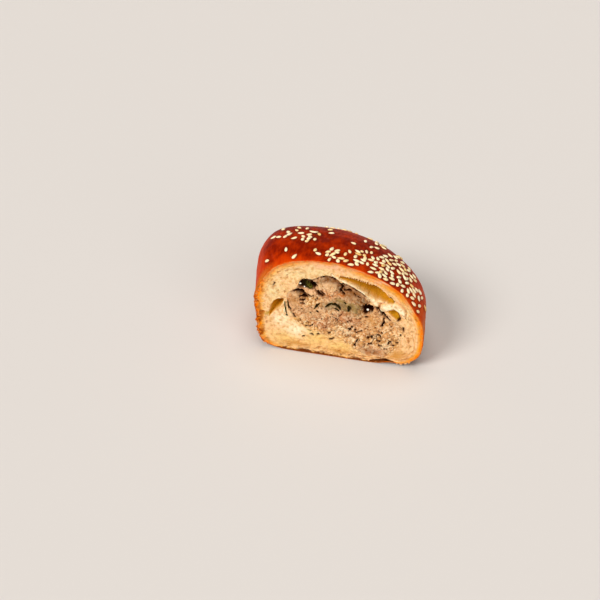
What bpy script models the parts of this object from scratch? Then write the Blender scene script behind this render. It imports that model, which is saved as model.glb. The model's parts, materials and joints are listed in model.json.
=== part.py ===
"""Half of a baked hand pie with a sesame top, cut straight across and standing on its flat base.

Metres, +Z up. The cut faces -Y and the rounded end points to +Y. The origin is on the base,
in the middle of the pie's outline box. The sizes below are in millimetres, measured from a
datum at the foot of the cut face: x to the right, y into the pie, z up.
"""

import math
import random

import bmesh
import bpy
from mathutils import Matrix, Vector, noise

MM = 0.001
MIDDLE_X = -0.45  # the middle of the outline box, from the datum
MIDDLE_Y = 30.7
GAP = 0.3  # air between pieces that touch

# The cut section: four quarter curves about one centre, each a superellipse
CENTRE_X = -3.1
CENTRE_Z = 27.4  # height of the widest level
LEFT = 38.5
RIGHT = 49.0
ABOVE = 32.0
BELOW = 28.8
UPPER_LEFT_POWER = 2.4
UPPER_RIGHT_POWER = 1.8
LOWER_LEFT_POWER = 4.1
LOWER_RIGHT_POWER = 4.3

# How the section changes on its way to the rounded end
LENGTH = 61.5
SIDE_POWER = 2.6
TOP_POWER = 2.0
BASE_POWER = 3.4
SLANT = -0.18  # the pie runs to the left as it goes back
SIDE_SWELL = 0.06
SHOULDER_POWER = 1.3  # extra squareness of the upper left, half way back

SECTION_STEPS = 60
LENGTH_STEPS = 13

# The filling's outline on the cut, clockwise from the lower left (x, z)
FILLING_OUTLINE = (
    (-22.0, 22.0), (-24.5, 28.0), (-24.5, 35.5), (-19.5, 40.5), (-17.5, 45.5), (-11.0, 46.8),
    (-5.0, 50.0), (-1.0, 49.8), (3.0, 46.8), (10.0, 44.6), (16.5, 40.5), (17.5, 36.5),
    (23.0, 34.0), (28.5, 28.5), (34.5, 25.0), (34.0, 18.5), (31.0, 10.0), (26.5, 5.5),
    (19.0, 4.8), (11.5, 5.8), (8.0, 10.0), (1.0, 13.5), (-8.0, 14.3), (-16.0, 17.0),
)
FILLING_X = 4.0
FILLING_Z = 27.0
FILLING_LENGTH = 43.0
FILLING_RISE = 1.5  # the cavity's centre climbs this much by its far end
FILLING_ROUNDNESS = 0.55  # power of the cosine that draws its sections in
FILLING_STEPS = 72
FILLING_FACE_RINGS = 14
FILLING_RIM_CROWDING = 1.3
FILLING_BACK_RINGS = 9
FILLING_MERGE = 1.1  # thins the crowded points round the middle of the face
FILLING_MERGE_REACH = 13.0
ROOM_FRONT = -4.0  # the cavity's cutter starts this far in front of the cut
FACE_SETBACK = 0.9  # the crumbled meat lies a little behind the cut
LUMP_SIZE = 4.6
LUMP_HEIGHT = 1.5
LUMP_SLICE = 3.1  # where the flat face slices the cells of the lumps
GRAIN_SIZE = 2.2
GRAIN_HEIGHT = 0.5
GRAIN_SLICE = 7.7
CELL_MIDDLE = 0.4  # usual distance to a cell's middle, in cell sizes
CALM_RIM = 0.2  # outer share of the face where the lumps grow lower
CALM_RIM_LOSS = 0.6
# Hollows torn in the filling's face: x, z, radius, depth
FILLING_HOLLOWS = (
    (16.8, 33.8, 2.2, 5.0),
    (-14.6, 43.2, 4.2, 4.2),
    (-18.3, 37.2, 1.8, 2.6),
    (-15.6, 35.4, 1.7, 2.4),
    (24.6, 30.8, 1.8, 3.4),
    (0.8, 31.0, 2.0, 1.8),
    (7.0, 41.5, 5.0, 2.0),
    (-23.6, 24.5, 1.7, 2.4),
)

# Air pockets in the dough: the line that each follows (x, z, half width), and its depth
UPPER_POCKET = (
    (3.5, 50.9, 0.5), (8.0, 50.2, 1.3), (13.0, 48.2, 2.4),
    (18.0, 46.2, 4.2), (24.0, 43.6, 3.3), (28.8, 41.6, 0.7),
)
LEFT_POCKET = ((-34.6, 20.6, 0.4), (-32.6, 25.0, 1.4), (-30.2, 28.8, 2.2), (-27.6, 31.4, 0.9))
RIGHT_POCKET = ((28.9, 33.3, 0.7), (30.6, 32.4, 1.7), (32.3, 30.2, 1.0))
UPPER_POCKET_DEPTH = 11.0
LEFT_POCKET_DEPTH = 8.0
RIGHT_POCKET_DEPTH = 5.0

# Sesame seeds, in patches: angle round the section, distance back, spread of both, count
SEED_PATCHES = (
    (118, 24.0, 6, 5.5, 17),
    (127, 8.2, 1, 0.4, 1),
    (121, 3.0, 1, 0.4, 1),
    (145, 6.3, 1, 0.4, 1),
    (95, 31.0, 3, 8.0, 2),
    (91, 7.5, 5, 2.4, 8),
    (75, 3.6, 2, 0.8, 2),
    (66, 17.5, 4, 3.5, 6),
    (56, 30.0, 4, 3.5, 4),
    (60, 10.0, 4, 2.5, 6),
    (42, 10.5, 7, 5.0, 34),
    (28, 18.0, 6, 5.5, 22),
    (17, 5.0, 4, 3.0, 8),
    (38, 38.0, 10, 4.0, 10),
    (85, 53.0, 24, 2.0, 10),
)
SEED_LENGTH = 3.2
SEED_WIDTH = 1.9
SEED_THICKNESS = 1.0
SEED_NARROWING = 0.5  # how much of its width the blunt end gives up to the point
SEED_SUNK = 0.28  # share of the thickness below the crust
SEED_SPACING = 2.7
SEED_NEAREST = 1.9  # to the cut
SEED_FARTHEST = 56.0
SEED_TRIES = 40
SEED_RANDOM = 11

# Torn crumbs of crust that hang on the lower left corner of the cut
CRUMB_COUNT = 12
CRUMB_SIZES = (0.7, 1.4)
CRUMB_ANGLES = (197, 222)
CRUMB_FARTHEST = 5.0  # from the cut
CRUMB_ROUGHNESS = (0.8, 1.12)
CRUMB_RANDOM = 12

# The leaf that lies in the filling's upper left hollow
LEAF_X = -14.4
LEAF_Z = 43.4
LEAF_LENGTH = 6.4
LEAF_WIDTH = 4.4
LEAF_THICKNESS = 0.6
LEAF_NARROWING = 0.75
LEAF_WAVE = 0.5
LEAF_WAVES = (3.4, 1.1)  # along and across, in radians to each end
LEAF_TILT = 32.0
LEAF_SETBACK = 0.1


def clear_scene():
    for thing in list(bpy.data.objects):
        bpy.data.objects.remove(thing, do_unlink=True)


def make_collection(name):
    collection = bpy.data.collections.new(name)
    bpy.context.scene.collection.children.link(collection)
    return collection


def make_material(name, colour, roughness):
    material = bpy.data.materials.new(name)
    material.use_nodes = True
    shader = material.node_tree.nodes["Principled BSDF"]
    shader.inputs["Base Color"].default_value = (*colour, 1.0)
    shader.inputs["Roughness"].default_value = roughness
    shader.inputs["Metallic"].default_value = 0.0
    return material


def place(x, y, z):
    """A point given in millimetres from the datum, in the part's own frame."""
    return Vector(((x - MIDDLE_X) * MM, (y - MIDDLE_Y) * MM, z * MM))


def make_object(name, mesh_bmesh, collection, material=None):
    bmesh.ops.recalc_face_normals(mesh_bmesh, faces=mesh_bmesh.faces)
    if mesh_bmesh.calc_volume(signed=True) < 0:
        bmesh.ops.reverse_faces(mesh_bmesh, faces=mesh_bmesh.faces)
    mesh = bpy.data.meshes.new(name)
    mesh_bmesh.to_mesh(mesh)
    mesh_bmesh.free()
    thing = bpy.data.objects.new(name, mesh)
    collection.objects.link(thing)
    if material:
        mesh.materials.append(material)
    return thing


def section_radius(angle, share):
    """Distance from the section's centre to the crust, at this angle and share of the length."""
    across, up = math.cos(angle), math.sin(angle)
    if up >= 0:
        height = ABOVE
        bulge = SHOULDER_POWER * math.sin(math.pi * share)
        power = UPPER_LEFT_POWER + bulge if across < 0 else UPPER_RIGHT_POWER
    else:
        height = BELOW
        power = LOWER_LEFT_POWER if across < 0 else LOWER_RIGHT_POWER
    width = LEFT if across < 0 else RIGHT
    return (abs(across / width) ** power + abs(up / height) ** power) ** (-1 / power)


def taper(share, power):
    return max(1 - share**power, 0.0) ** (1 / power)


def crust_point(angle, y):
    """A point of the crust in millimetres from the datum, before the base is cut flat."""
    share = min(y / LENGTH, 1.0)
    radius = section_radius(angle, share)
    swell = 1 + SIDE_SWELL * math.sin(math.pi * share)
    x = CENTRE_X + SLANT * y + radius * math.cos(angle) * taper(share, SIDE_POWER) * swell
    rise = radius * math.sin(angle)
    z = CENTRE_Z + rise * taper(share, TOP_POWER if rise >= 0 else BASE_POWER)
    return Vector((x, y, z))


def crust_normal(angle, y):
    step = 0.01
    round_section = crust_point(angle + step, y) - crust_point(angle - step, y)
    along = crust_point(angle, y + step) - crust_point(angle, max(y - step, 0.0))
    return along.cross(round_section).normalized()


def half_pie():
    """A ball opened at its equator: each ring becomes one section of the pie."""
    body = bmesh.new()
    bmesh.ops.create_uvsphere(body, u_segments=SECTION_STEPS, v_segments=2 * LENGTH_STEPS, radius=1.0)
    bmesh.ops.bisect_plane(
        body,
        geom=body.verts[:] + body.edges[:] + body.faces[:],
        dist=1e-5,
        plane_co=(0, 0, 0),
        plane_no=(0, 0, -1),
        clear_outer=True,
    )
    for vertex in body.verts:
        ball = vertex.co
        angle = math.atan2(ball.y, ball.x) if ball.xy.length > 1e-6 else 0.0
        y = LENGTH * min(max(ball.z, 0.0), 1.0)
        vertex.co = place(*crust_point(angle, y))
    rim = [edge for edge in body.edges if edge.is_boundary]
    bmesh.ops.holes_fill(body, edges=rim, sides=0)
    cut = bmesh.ops.bisect_plane(
        body,
        geom=body.verts[:] + body.edges[:] + body.faces[:],
        dist=1e-6,
        plane_co=(0, 0, 0),
        plane_no=(0, 0, -1),
        clear_outer=True,
    )
    base_rim = [item for item in cut["geom_cut"] if isinstance(item, bmesh.types.BMEdge)]
    bmesh.ops.holes_fill(body, edges=base_rim, sides=0)
    return body


def outline_radius(angle):
    """The filling's outline about its own centre, with a cosine blend from point to point."""
    spokes = sorted((math.atan2(z - FILLING_Z, x - FILLING_X), math.hypot(x - FILLING_X, z - FILLING_Z))
                    for x, z in FILLING_OUTLINE)
    first, last = spokes[0], spokes[-1]
    spokes = [(last[0] - math.tau, last[1])] + spokes + [(first[0] + math.tau, first[1])]
    for (low, near), (high, far) in zip(spokes, spokes[1:]):
        if low <= angle <= high:
            blend = (1 - math.cos(math.pi * (angle - low) / (high - low))) / 2
            return near + (far - near) * blend
    return first[1]


def filling_relief(x, z, edge):
    """How far the filling's face lies behind the cut: lumps of minced meat, grains and hollows."""
    lumps = noise.voronoi(Vector((x / LUMP_SIZE, LUMP_SLICE, z / LUMP_SIZE)))[0]
    grains = noise.voronoi(Vector((x / GRAIN_SIZE, GRAIN_SLICE, z / GRAIN_SIZE)))[0]
    back = FACE_SETBACK + LUMP_HEIGHT * (lumps[0] - CELL_MIDDLE) + GRAIN_HEIGHT * (grains[0] - CELL_MIDDLE)
    back *= 1 - CALM_RIM_LOSS * edge
    for hollow_x, hollow_z, radius, depth in FILLING_HOLLOWS:
        away = math.hypot(x - hollow_x, z - hollow_z) / radius
        back += depth * math.exp(-away * away)
    return back


def filling_blob(grow, face_y):
    """A ball whose front rings are spread over the outline and whose other rings run back to a point.

    The front keeps the crumbled relief where face_y is None, and else lies flat at that y.
    """
    rings = FILLING_FACE_RINGS + FILLING_BACK_RINGS
    blob = bmesh.new()
    bmesh.ops.create_uvsphere(blob, u_segments=FILLING_STEPS, v_segments=rings, radius=1.0)
    for vertex in blob.verts:
        ball = vertex.co.normalized()
        ring = round(math.acos(max(-1.0, min(1.0, -ball.z))) / math.pi * rings)
        angle = math.atan2(ball.y, ball.x) if 0 < ring < rings else 0.0
        if ring <= FILLING_FACE_RINGS:
            depth = 0.0
            reach = 1 - (1 - ring / FILLING_FACE_RINGS) ** FILLING_RIM_CROWDING
        else:
            turn = (ring - FILLING_FACE_RINGS) / FILLING_BACK_RINGS * math.pi / 2
            depth = math.sin(turn)
            reach = max(math.cos(turn), 0.0) ** FILLING_ROUNDNESS
        radius = (outline_radius(angle) + grow) * reach
        x = FILLING_X + radius * math.cos(angle)
        z = FILLING_Z + radius * math.sin(angle)
        y = depth * (FILLING_LENGTH + grow)
        if depth == 0.0:
            edge = max(0.0, 1 - (1 - reach) / CALM_RIM)
            y = filling_relief(x, z, edge) if face_y is None else face_y
        vertex.co = place(x + SLANT * y, y, z + FILLING_RISE * y / FILLING_LENGTH)
    middle = place(FILLING_X, 0, FILLING_Z)
    inner = [vertex for vertex in blob.verts if (vertex.co - middle).length < FILLING_MERGE_REACH * MM]
    bmesh.ops.remove_doubles(blob, verts=inner, dist=FILLING_MERGE * MM)
    return blob


def make_filling(collection, material):
    return make_object("meat_filling", filling_blob(0.0, None), collection, material)


def make_filling_room(collection):
    """The cavity in the dough: the filling's own shape, grown by the gap, out past the cut."""
    return make_object("filling_room", filling_blob(GAP, ROOM_FRONT), collection)


def make_pocket(name, line, depth, collection):
    """An air pocket: a tube of varied width along its line, stretched back into the dough."""
    curve = bpy.data.curves.new(name, "CURVE")
    curve.dimensions = "3D"
    curve.bevel_depth = MM
    curve.bevel_resolution = 3
    curve.resolution_u = 3
    curve.use_fill_caps = True
    spline = curve.splines.new("NURBS")
    spline.points.add(len(line) - 1)
    spline.use_endpoint_u = True
    spline.order_u = 3
    for point, (x, z, half_width) in zip(spline.points, line):
        point.co = (*place(x, MIDDLE_Y, z), 1.0)
        point.radius = half_width
    tube = bpy.data.objects.new(name + "_line", curve)
    collection.objects.link(tube)
    bpy.context.view_layer.update()
    graph = bpy.context.evaluated_depsgraph_get()
    mesh = bpy.data.meshes.new_from_object(tube.evaluated_get(graph))
    bpy.data.objects.remove(tube, do_unlink=True)
    shape = bmesh.new()
    shape.from_mesh(mesh)
    bmesh.ops.remove_doubles(shape, verts=shape.verts, dist=1e-6)
    widest = max(half_width for x, z, half_width in line)
    for vertex in shape.verts:
        vertex.co.y = vertex.co.y * depth / widest - MIDDLE_Y * MM
    return make_object(name, shape, collection)


def seed_places():
    """Angle, distance back and turn of each seed, none nearer another than the spacing."""
    draw = random.Random(SEED_RANDOM)
    places = []
    taken = []
    for angle, y, angle_spread, y_spread, count in SEED_PATCHES:
        for _ in range(count):
            for _ in range(SEED_TRIES):
                turned = math.radians(draw.gauss(angle, angle_spread))
                back = max(draw.gauss(y, y_spread), SEED_NEAREST)
                point = crust_point(turned, min(back, SEED_FARTHEST))
                if all((point - other).length > SEED_SPACING for other in taken):
                    taken.append(point)
                    places.append((turned, point.y, draw.uniform(0, math.pi)))
                    break
    return places


def make_seed(name, angle, y, turn, collection):
    """A flat drop: a ball of 36 triangles drawn out, narrowed to one end and laid on the crust."""
    seed = bmesh.new()
    bmesh.ops.create_uvsphere(seed, u_segments=6, v_segments=4, radius=0.5)
    for vertex in seed.verts:
        narrowed = 1 - SEED_NARROWING * vertex.co.x
        vertex.co.x *= SEED_LENGTH
        vertex.co.y *= SEED_WIDTH * narrowed
        vertex.co.z *= SEED_THICKNESS
    up = crust_normal(angle, y)
    along = up.orthogonal().normalized()
    facing = Matrix((along, up.cross(along), up)).transposed().to_4x4()
    seat = crust_point(angle, y) + up * SEED_THICKNESS * (0.5 - SEED_SUNK)
    matrix = Matrix.Scale(MM, 4) @ facing @ Matrix.Rotation(turn, 4, "Z")
    matrix.translation = place(*seat)
    bmesh.ops.transform(seed, matrix=matrix, verts=seed.verts)
    return make_object(name, seed, collection)


def make_crumb(name, draw, collection):
    """A rough lump on the lower left edge of the cut, where the crust tore."""
    crumb = bmesh.new()
    bmesh.ops.create_icosphere(crumb, subdivisions=1, radius=1.0)
    angle = math.radians(draw.uniform(*CRUMB_ANGLES))
    size = draw.uniform(*CRUMB_SIZES)
    farthest_out = size * CRUMB_ROUGHNESS[1]
    middle = crust_point(angle, draw.uniform(0.0, CRUMB_FARTHEST))
    middle.z = max(middle.z, farthest_out + GAP)
    middle.y = max(middle.y, farthest_out)
    for vertex in crumb.verts:
        vertex.co = place(*(middle + vertex.co * size * draw.uniform(*CRUMB_ROUGHNESS)))
    return make_object(name, crumb, collection)


def make_leaf(collection, material):
    """A grid drawn in towards both ends, with a wave along it, stood up and leant in its hollow."""
    leaf = bmesh.new()
    bmesh.ops.create_grid(leaf, x_segments=10, y_segments=6, size=1.0)
    for vertex in leaf.verts:
        along, across = vertex.co.x, vertex.co.y
        narrowing = 1 - LEAF_NARROWING * along * along
        vertex.co = Vector((
            along * LEAF_LENGTH / 2,
            across * narrowing * LEAF_WIDTH / 2,
            LEAF_WAVE * math.sin(LEAF_WAVES[0] * along + LEAF_WAVES[1] * across),
        ))
    bmesh.ops.triangulate(leaf, faces=leaf.faces)
    tilt = Matrix.Rotation(math.radians(LEAF_TILT), 4, "Y") @ Matrix.Rotation(math.radians(90), 4, "X")
    for vertex in leaf.verts:
        turned = tilt @ vertex.co
        vertex.co = place(LEAF_X + turned.x, LEAF_SETBACK + LEAF_THICKNESS + turned.y, LEAF_Z + turned.z)
    thing = make_object("herb_leaf", leaf, collection, material)
    wall = thing.modifiers.new("thickness", "SOLIDIFY")
    wall.thickness = LEAF_THICKNESS * MM
    wall.offset = 0.0
    return thing


def hide_cutters(cutters):
    for thing in cutters.objects:
        thing.hide_render = True
        thing.display_type = "WIRE"


def make_dough(collection, material, cutters):
    """The baked dough: pockets and the filling's room cut out, seeds and crumbs joined on."""
    dough = make_object("pie_dough", half_pie(), collection, material)
    joined = bpy.data.collections.new("sesame_and_crumbs")
    bpy.context.scene.collection.children.link(joined)
    for number, (angle, y, turn) in enumerate(seed_places()):
        make_seed(f"seed_{number}", angle, y, turn, joined)
    draw = random.Random(CRUMB_RANDOM)
    for number in range(CRUMB_COUNT):
        make_crumb(f"crumb_{number}", draw, joined)
    for cutter in cutters.objects:
        cut = dough.modifiers.new("cut " + cutter.name, "BOOLEAN")
        cut.operation = "DIFFERENCE"
        cut.object = cutter
    union = dough.modifiers.new("seeds", "BOOLEAN")
    union.operation = "UNION"
    union.operand_type = "COLLECTION"
    union.collection = joined
    bpy.context.view_layer.update()
    graph = bpy.context.evaluated_depsgraph_get()
    finished = bpy.data.meshes.new_from_object(dough.evaluated_get(graph))
    dough.modifiers.clear()
    dough.data = finished
    for thing in list(joined.objects):
        bpy.data.objects.remove(thing, do_unlink=True)
    bpy.data.collections.remove(joined)
    return dough


def main():
    clear_scene()
    pie = make_collection("hand_pie_half")
    cutters = make_collection("cutters")
    crust = make_material("baked_crust", (0.42, 0.11, 0.025), 0.35)
    meat = make_material("minced_meat", (0.42, 0.27, 0.19), 0.6)
    herb = make_material("green_herb", (0.05, 0.07, 0.02), 0.5)
    make_filling_room(cutters)
    make_pocket("upper_pocket", UPPER_POCKET, UPPER_POCKET_DEPTH, cutters)
    make_pocket("left_pocket", LEFT_POCKET, LEFT_POCKET_DEPTH, cutters)
    make_pocket("right_pocket", RIGHT_POCKET, RIGHT_POCKET_DEPTH, cutters)
    hide_cutters(cutters)
    make_dough(pie, crust, cutters)
    make_filling(pie, meat)
    make_leaf(pie, herb)


main()
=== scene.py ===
import itertools
import json
import math
import random

import bpy
import numpy as np
from mathutils import Matrix, Vector

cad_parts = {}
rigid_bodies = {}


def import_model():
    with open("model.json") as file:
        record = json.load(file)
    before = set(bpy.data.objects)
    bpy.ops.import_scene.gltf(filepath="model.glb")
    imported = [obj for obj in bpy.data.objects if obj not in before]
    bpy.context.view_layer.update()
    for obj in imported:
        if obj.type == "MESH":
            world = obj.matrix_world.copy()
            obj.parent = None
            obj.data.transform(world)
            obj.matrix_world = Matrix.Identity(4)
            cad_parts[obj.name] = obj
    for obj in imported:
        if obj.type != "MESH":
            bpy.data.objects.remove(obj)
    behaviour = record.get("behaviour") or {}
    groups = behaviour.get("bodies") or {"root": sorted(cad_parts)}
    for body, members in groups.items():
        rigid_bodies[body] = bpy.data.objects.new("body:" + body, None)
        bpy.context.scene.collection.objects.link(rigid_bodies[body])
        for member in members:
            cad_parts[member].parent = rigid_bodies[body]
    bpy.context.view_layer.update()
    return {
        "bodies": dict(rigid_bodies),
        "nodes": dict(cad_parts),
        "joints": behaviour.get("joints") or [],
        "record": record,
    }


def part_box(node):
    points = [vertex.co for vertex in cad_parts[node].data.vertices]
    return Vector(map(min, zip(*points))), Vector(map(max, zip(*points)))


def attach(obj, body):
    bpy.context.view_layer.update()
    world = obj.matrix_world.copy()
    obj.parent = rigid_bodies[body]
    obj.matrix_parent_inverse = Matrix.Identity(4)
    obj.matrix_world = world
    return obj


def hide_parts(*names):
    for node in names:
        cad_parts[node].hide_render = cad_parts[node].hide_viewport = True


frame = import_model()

print("frame loaded:", sorted(frame["nodes"]))

# Every size below is in millimetres from a datum at the foot of the cut:
# x to the right, y back into the pie, z up.
millimetre = 0.001
datumX = 0.45  # the datum's place in the part's own frame, at the front of its box
datum = np.array([datumX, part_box("pie_dough")[0].y / millimetre, 0.0])
farAway = 99.0  # more than any distance on the pie
justInside = 0.05  # loose pieces stop this far behind the cut


def toLinear(code):
    # sRGB hex to linear: the standard curve, with its straight foot
    channels = [int(code[i:i + 2], 16) / 255 for i in (1, 3, 5)]
    return [c / 12.92 if c <= 0.04045 else ((c + 0.055) / 1.055) ** 2.4 for c in channels] + [1.0]


def smoothStep(low, high, value):
    # 0 below low and 1 above high, along 3s^2 - 2s^3 between them
    share = np.clip((value - low) / (high - low), 0, 1)
    return share * share * (3 - 2 * share)


def cellHash(cells, seed):
    # mixes a cell's three whole numbers, by large odd numbers, into one even random number from 0 to 1
    mixed = cells[..., 0] * 374761393 + cells[..., 1] * 668265263 + cells[..., 2] * 1442695041
    mixed = (mixed + seed * 974711) & 0xFFFFFFFF
    mixed = ((mixed ^ (mixed >> 13)) * 1274126177) & 0xFFFFFFFF
    mixed = ((mixed ^ (mixed >> 15)) * 1103515245) & 0xFFFFFFFF
    return ((mixed ^ (mixed >> 16)) & 0xFFFFFF) / 0x1000000


def softNoise(points, size, seed):
    # random values at the corners of a lattice, blended smoothly between them, from -1 to 1
    scaled = points / size
    cells = np.floor(scaled).astype(np.int64)
    share = scaled - cells
    share = share * share * (3 - 2 * share)
    total = 0
    for corner in itertools.product((0, 1), repeat=3):
        weight = np.prod(np.where(corner, share, 1 - share), axis=-1)
        total = total + weight * cellHash(cells + corner, seed)
    return 2 * total - 1


def layeredNoise(points, size, seed, layers=4, fade=0.55):
    # soft noises added up, each half the size and a little over half the height of the last
    return sum(fade ** k * softNoise(points, size / 2 ** k, seed + k) for k in range(layers))


def cellNoise(points, size, seed):
    # one random heart in each cell: the distance to the nearest and to the next, in cells, and the
    # nearest one's own number
    scaled = points / size
    cells = np.floor(scaled).astype(np.int64)
    nearest = np.full(points.shape[:-1], farAway)
    following, own = nearest.copy(), np.zeros_like(nearest)
    for offset in itertools.product((-1, 0, 1), repeat=3):
        cell = cells + offset
        heart = cell + np.stack([cellHash(cell, seed + axis) for axis in (1, 2, 3)], axis=-1)
        away = np.linalg.norm(scaled - heart, axis=-1)
        closer = away < nearest
        following = np.where(closer, nearest, np.minimum(following, away))
        own = np.where(closer, cellHash(cell, seed), own)
        nearest = np.where(closer, away, nearest)
    return nearest, following, own


def facePoints(x, z, back=0.0):
    # points of a plane parallel to the cut, for reading a noise there
    return np.stack([x, np.full_like(x, back), z], axis=-1)


def spots(x, z, places):
    # soft round patches (x, z, half width, half height): the highest bell of them all
    bells = [np.exp(-(((x - a) / w) ** 2 + ((z - b) / h) ** 2)) for a, b, w, h in places]
    return np.max(bells, axis=0)


def zoneMasks(zones, x, z):
    # how far each zone's patches cover a point
    return {name: spots(x, z, places) for name, (_, places) in zones.items()}


def zoneTints(zones):
    # each zone's name and colour
    return [(name, code) for name, (code, _) in zones.items()]


def smoothLine(line, steps=5):
    # Catmull-Rom curve through the points of a line, with its end points doubled
    knots = np.array([line[0], *line, line[-1]], dtype=float)
    share = np.linspace(0, 1, steps, endpoint=False)[:, None]
    parts = []
    for a, b, c, d in zip(knots, knots[1:], knots[2:], knots[3:]):
        parts.append(0.5 * (2 * b + (c - a) * share + (2 * a - 5 * b + 4 * c - d) * share ** 2
                            + (3 * b - a - 3 * c + d) * share ** 3))
    return np.concatenate([*parts, knots[-1:]])


def nearLine(x, z, line):
    # nearest point of a line of (x, z, half width): the distance in half widths, the side of the line,
    # and the share of the way along it
    path = smoothLine(line)
    best = np.full(x.shape, farAway)
    side, way = np.zeros_like(x), np.zeros_like(x)
    for number, (start, end) in enumerate(zip(path, path[1:])):
        run = end[:2] - start[:2]
        along = (x - start[0]) * run[0] + (z - start[1]) * run[1]
        share = np.clip(along / max(run @ run, 1e-9), 0, 1)
        offX, offZ = x - start[0] - share * run[0], z - start[1] - share * run[1]
        away = np.hypot(offX, offZ) / (start[2] + share * (end[2] - start[2]))
        closer = away < best
        best = np.where(closer, away, best)
        side = np.where(closer, np.sign(run[0] * offZ - run[1] * offX), side)
        way = np.where(closer, (number + share) / (len(path) - 1), way)
    return best, side, way


def nearestLine(x, z, lines):
    # the distance to the nearest of several lines, in its half widths
    best = np.full(x.shape, farAway)
    for line in lines:
        best = np.minimum(best, nearLine(x, z, line)[0])
    return best


def gridFaces(rows, columns, closed=True):
    # quads between neighbouring rows; on a closed grid the last column joins the first
    row = np.arange(rows - 1)[:, None] * columns
    column = np.arange(columns if closed else columns - 1)[None, :]
    beside = (column + 1) % columns
    quads = [row + column, row + beside, row + columns + beside, row + columns + column]
    return np.stack(quads, axis=-1).reshape(-1, 4)


def fanFaces(ring, middle):
    # triangles from a ring of vertex numbers to one middle vertex
    return np.stack([ring, np.roll(ring, -1), np.full_like(ring, middle)], axis=-1)


def makePiece(name, points, faceGroups, materials, replaced=None, layers=None, indices=None):
    # puts arrays into a mesh: points in millimetres from the datum, faces as arrays of 3 or 4 columns.
    # Where the triangles' signed volumes add up to less than nothing, the faces are turned outwards.
    points = (points.reshape(-1, 3) + datum) * millimetre
    corners = [faces[:, [0, k, k + 1]] for faces in faceGroups for k in range(1, faces.shape[1] - 1)]
    corners = points[np.concatenate(corners)]
    if np.einsum("ij,ij->i", corners[:, 0], np.cross(corners[:, 1], corners[:, 2])).sum() < 0:
        faceGroups = [faces[:, ::-1] for faces in faceGroups]
    sizes = np.concatenate([np.full(len(faces), faces.shape[1]) for faces in faceGroups])
    loops = np.concatenate([faces.ravel() for faces in faceGroups])
    mesh = bpy.data.meshes.new(name)
    mesh.vertices.add(len(points))
    mesh.vertices.foreach_set("co", points.ravel())
    mesh.loops.add(len(loops))
    mesh.loops.foreach_set("vertex_index", loops)
    mesh.polygons.add(len(sizes))
    mesh.polygons.foreach_set("loop_start", np.cumsum(sizes) - sizes)
    for material in materials:
        mesh.materials.append(material)
    if indices is not None:
        mesh.polygons.foreach_set("material_index", indices)
    mesh.update(calc_edges=True)
    for layer, values in (layers or {}).items():
        attribute = mesh.attributes.new(layer, "FLOAT", "POINT")
        attribute.data.foreach_set("value", np.ravel(values).astype(np.float32))
    mesh.shade_smooth()
    piece = bpy.data.objects.new(name, mesh)
    bpy.context.scene.collection.objects.link(piece)
    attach(piece, "root")
    if replaced:
        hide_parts(replaced)
    print(f"{name}: {int((sizes - 2).sum())} triangles")


def ballShape(around, along):
    # unit ball: rows of latitude between two poles, and its faces
    lift = np.linspace(0, math.pi, along + 1)[1:-1, None]
    turn = np.linspace(0, math.tau, around, endpoint=False)[None, :]
    rows = np.stack([np.cos(lift) + 0 * turn, np.sin(lift) * np.cos(turn), np.sin(lift) * np.sin(turn)],
                    axis=-1)
    points = np.concatenate([rows.reshape(-1, 3), [[1, 0, 0], [-1, 0, 0]]])
    count = (along - 1) * around
    first, last = np.arange(around), np.arange(count - around, count)
    return points, [gridFaces(along - 1, around), fanFaces(first[::-1], count), fanFaces(last, count + 1)]


def copies(count, points, faceGroups):
    # the faces of many like shapes in one mesh: each one's numbers go up by the points of those before
    starts = (np.arange(count) * len(points))[:, None, None]
    return [(faces[None] + starts).reshape(-1, faces.shape[1]) for faces in faceGroups]


def ownNoise(bodies, apart, size, seed, layers):
    # a noise that each of many like shapes reads at a place of its own, this far from the next one's
    return layeredNoise(bodies + np.arange(len(bodies))[:, None, None] * apart, size, seed, layers)[..., None]


def turnMatrices(draw, count):
    # random turns: three angles each, about z, then x, then z again
    first, second, third = draw.uniform(0, math.tau, (3, count))
    zero, one = np.zeros(count), np.ones(count)

    def matrices(rows):
        return np.stack(rows, axis=-1).reshape(-1, 3, 3)

    def aboutZ(angle):
        return matrices([np.cos(angle), -np.sin(angle), zero, np.sin(angle), np.cos(angle), zero,
                         zero, zero, one])

    tilt = matrices([one, zero, zero, zero, np.cos(second), -np.sin(second),
                     zero, np.sin(second), np.cos(second)])
    return aboutZ(first) @ tilt @ aboutZ(third)


def addNode(tree, kind, settings=None, links=None):
    # adds one node: its own properties and socket values by name or number, then its links
    node = tree.nodes.new(kind)
    for name, value in (settings or {}).items():
        if name == "stops":
            ramp = node.color_ramp.elements
            while len(ramp) < len(value):
                ramp.new(1.0)
            for element, (position, code) in zip(ramp, value):
                element.position = position
                element.color = toLinear(code)
        elif isinstance(name, str) and hasattr(node, name):
            setattr(node, name, value)
        else:
            node.inputs[name].default_value = value
    for name, source in (links or {}).items():
        tree.links.new(source, node.inputs[name])
    return node


def newMaterial(name, settings):
    # a Principled shader on an output, with its plain numbers set on its own sockets, and the Object
    # coordinates that its patterns read
    material = bpy.data.materials.new(name)
    material.use_nodes = True
    tree = material.node_tree
    tree.nodes.clear()
    shader = addNode(tree, "ShaderNodeBsdfPrincipled", settings)
    addNode(tree, "ShaderNodeOutputMaterial", links={"Surface": shader.outputs["BSDF"]})
    place = addNode(tree, "ShaderNodeTexCoord").outputs["Object"]
    return material, tree, shader, place


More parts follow.
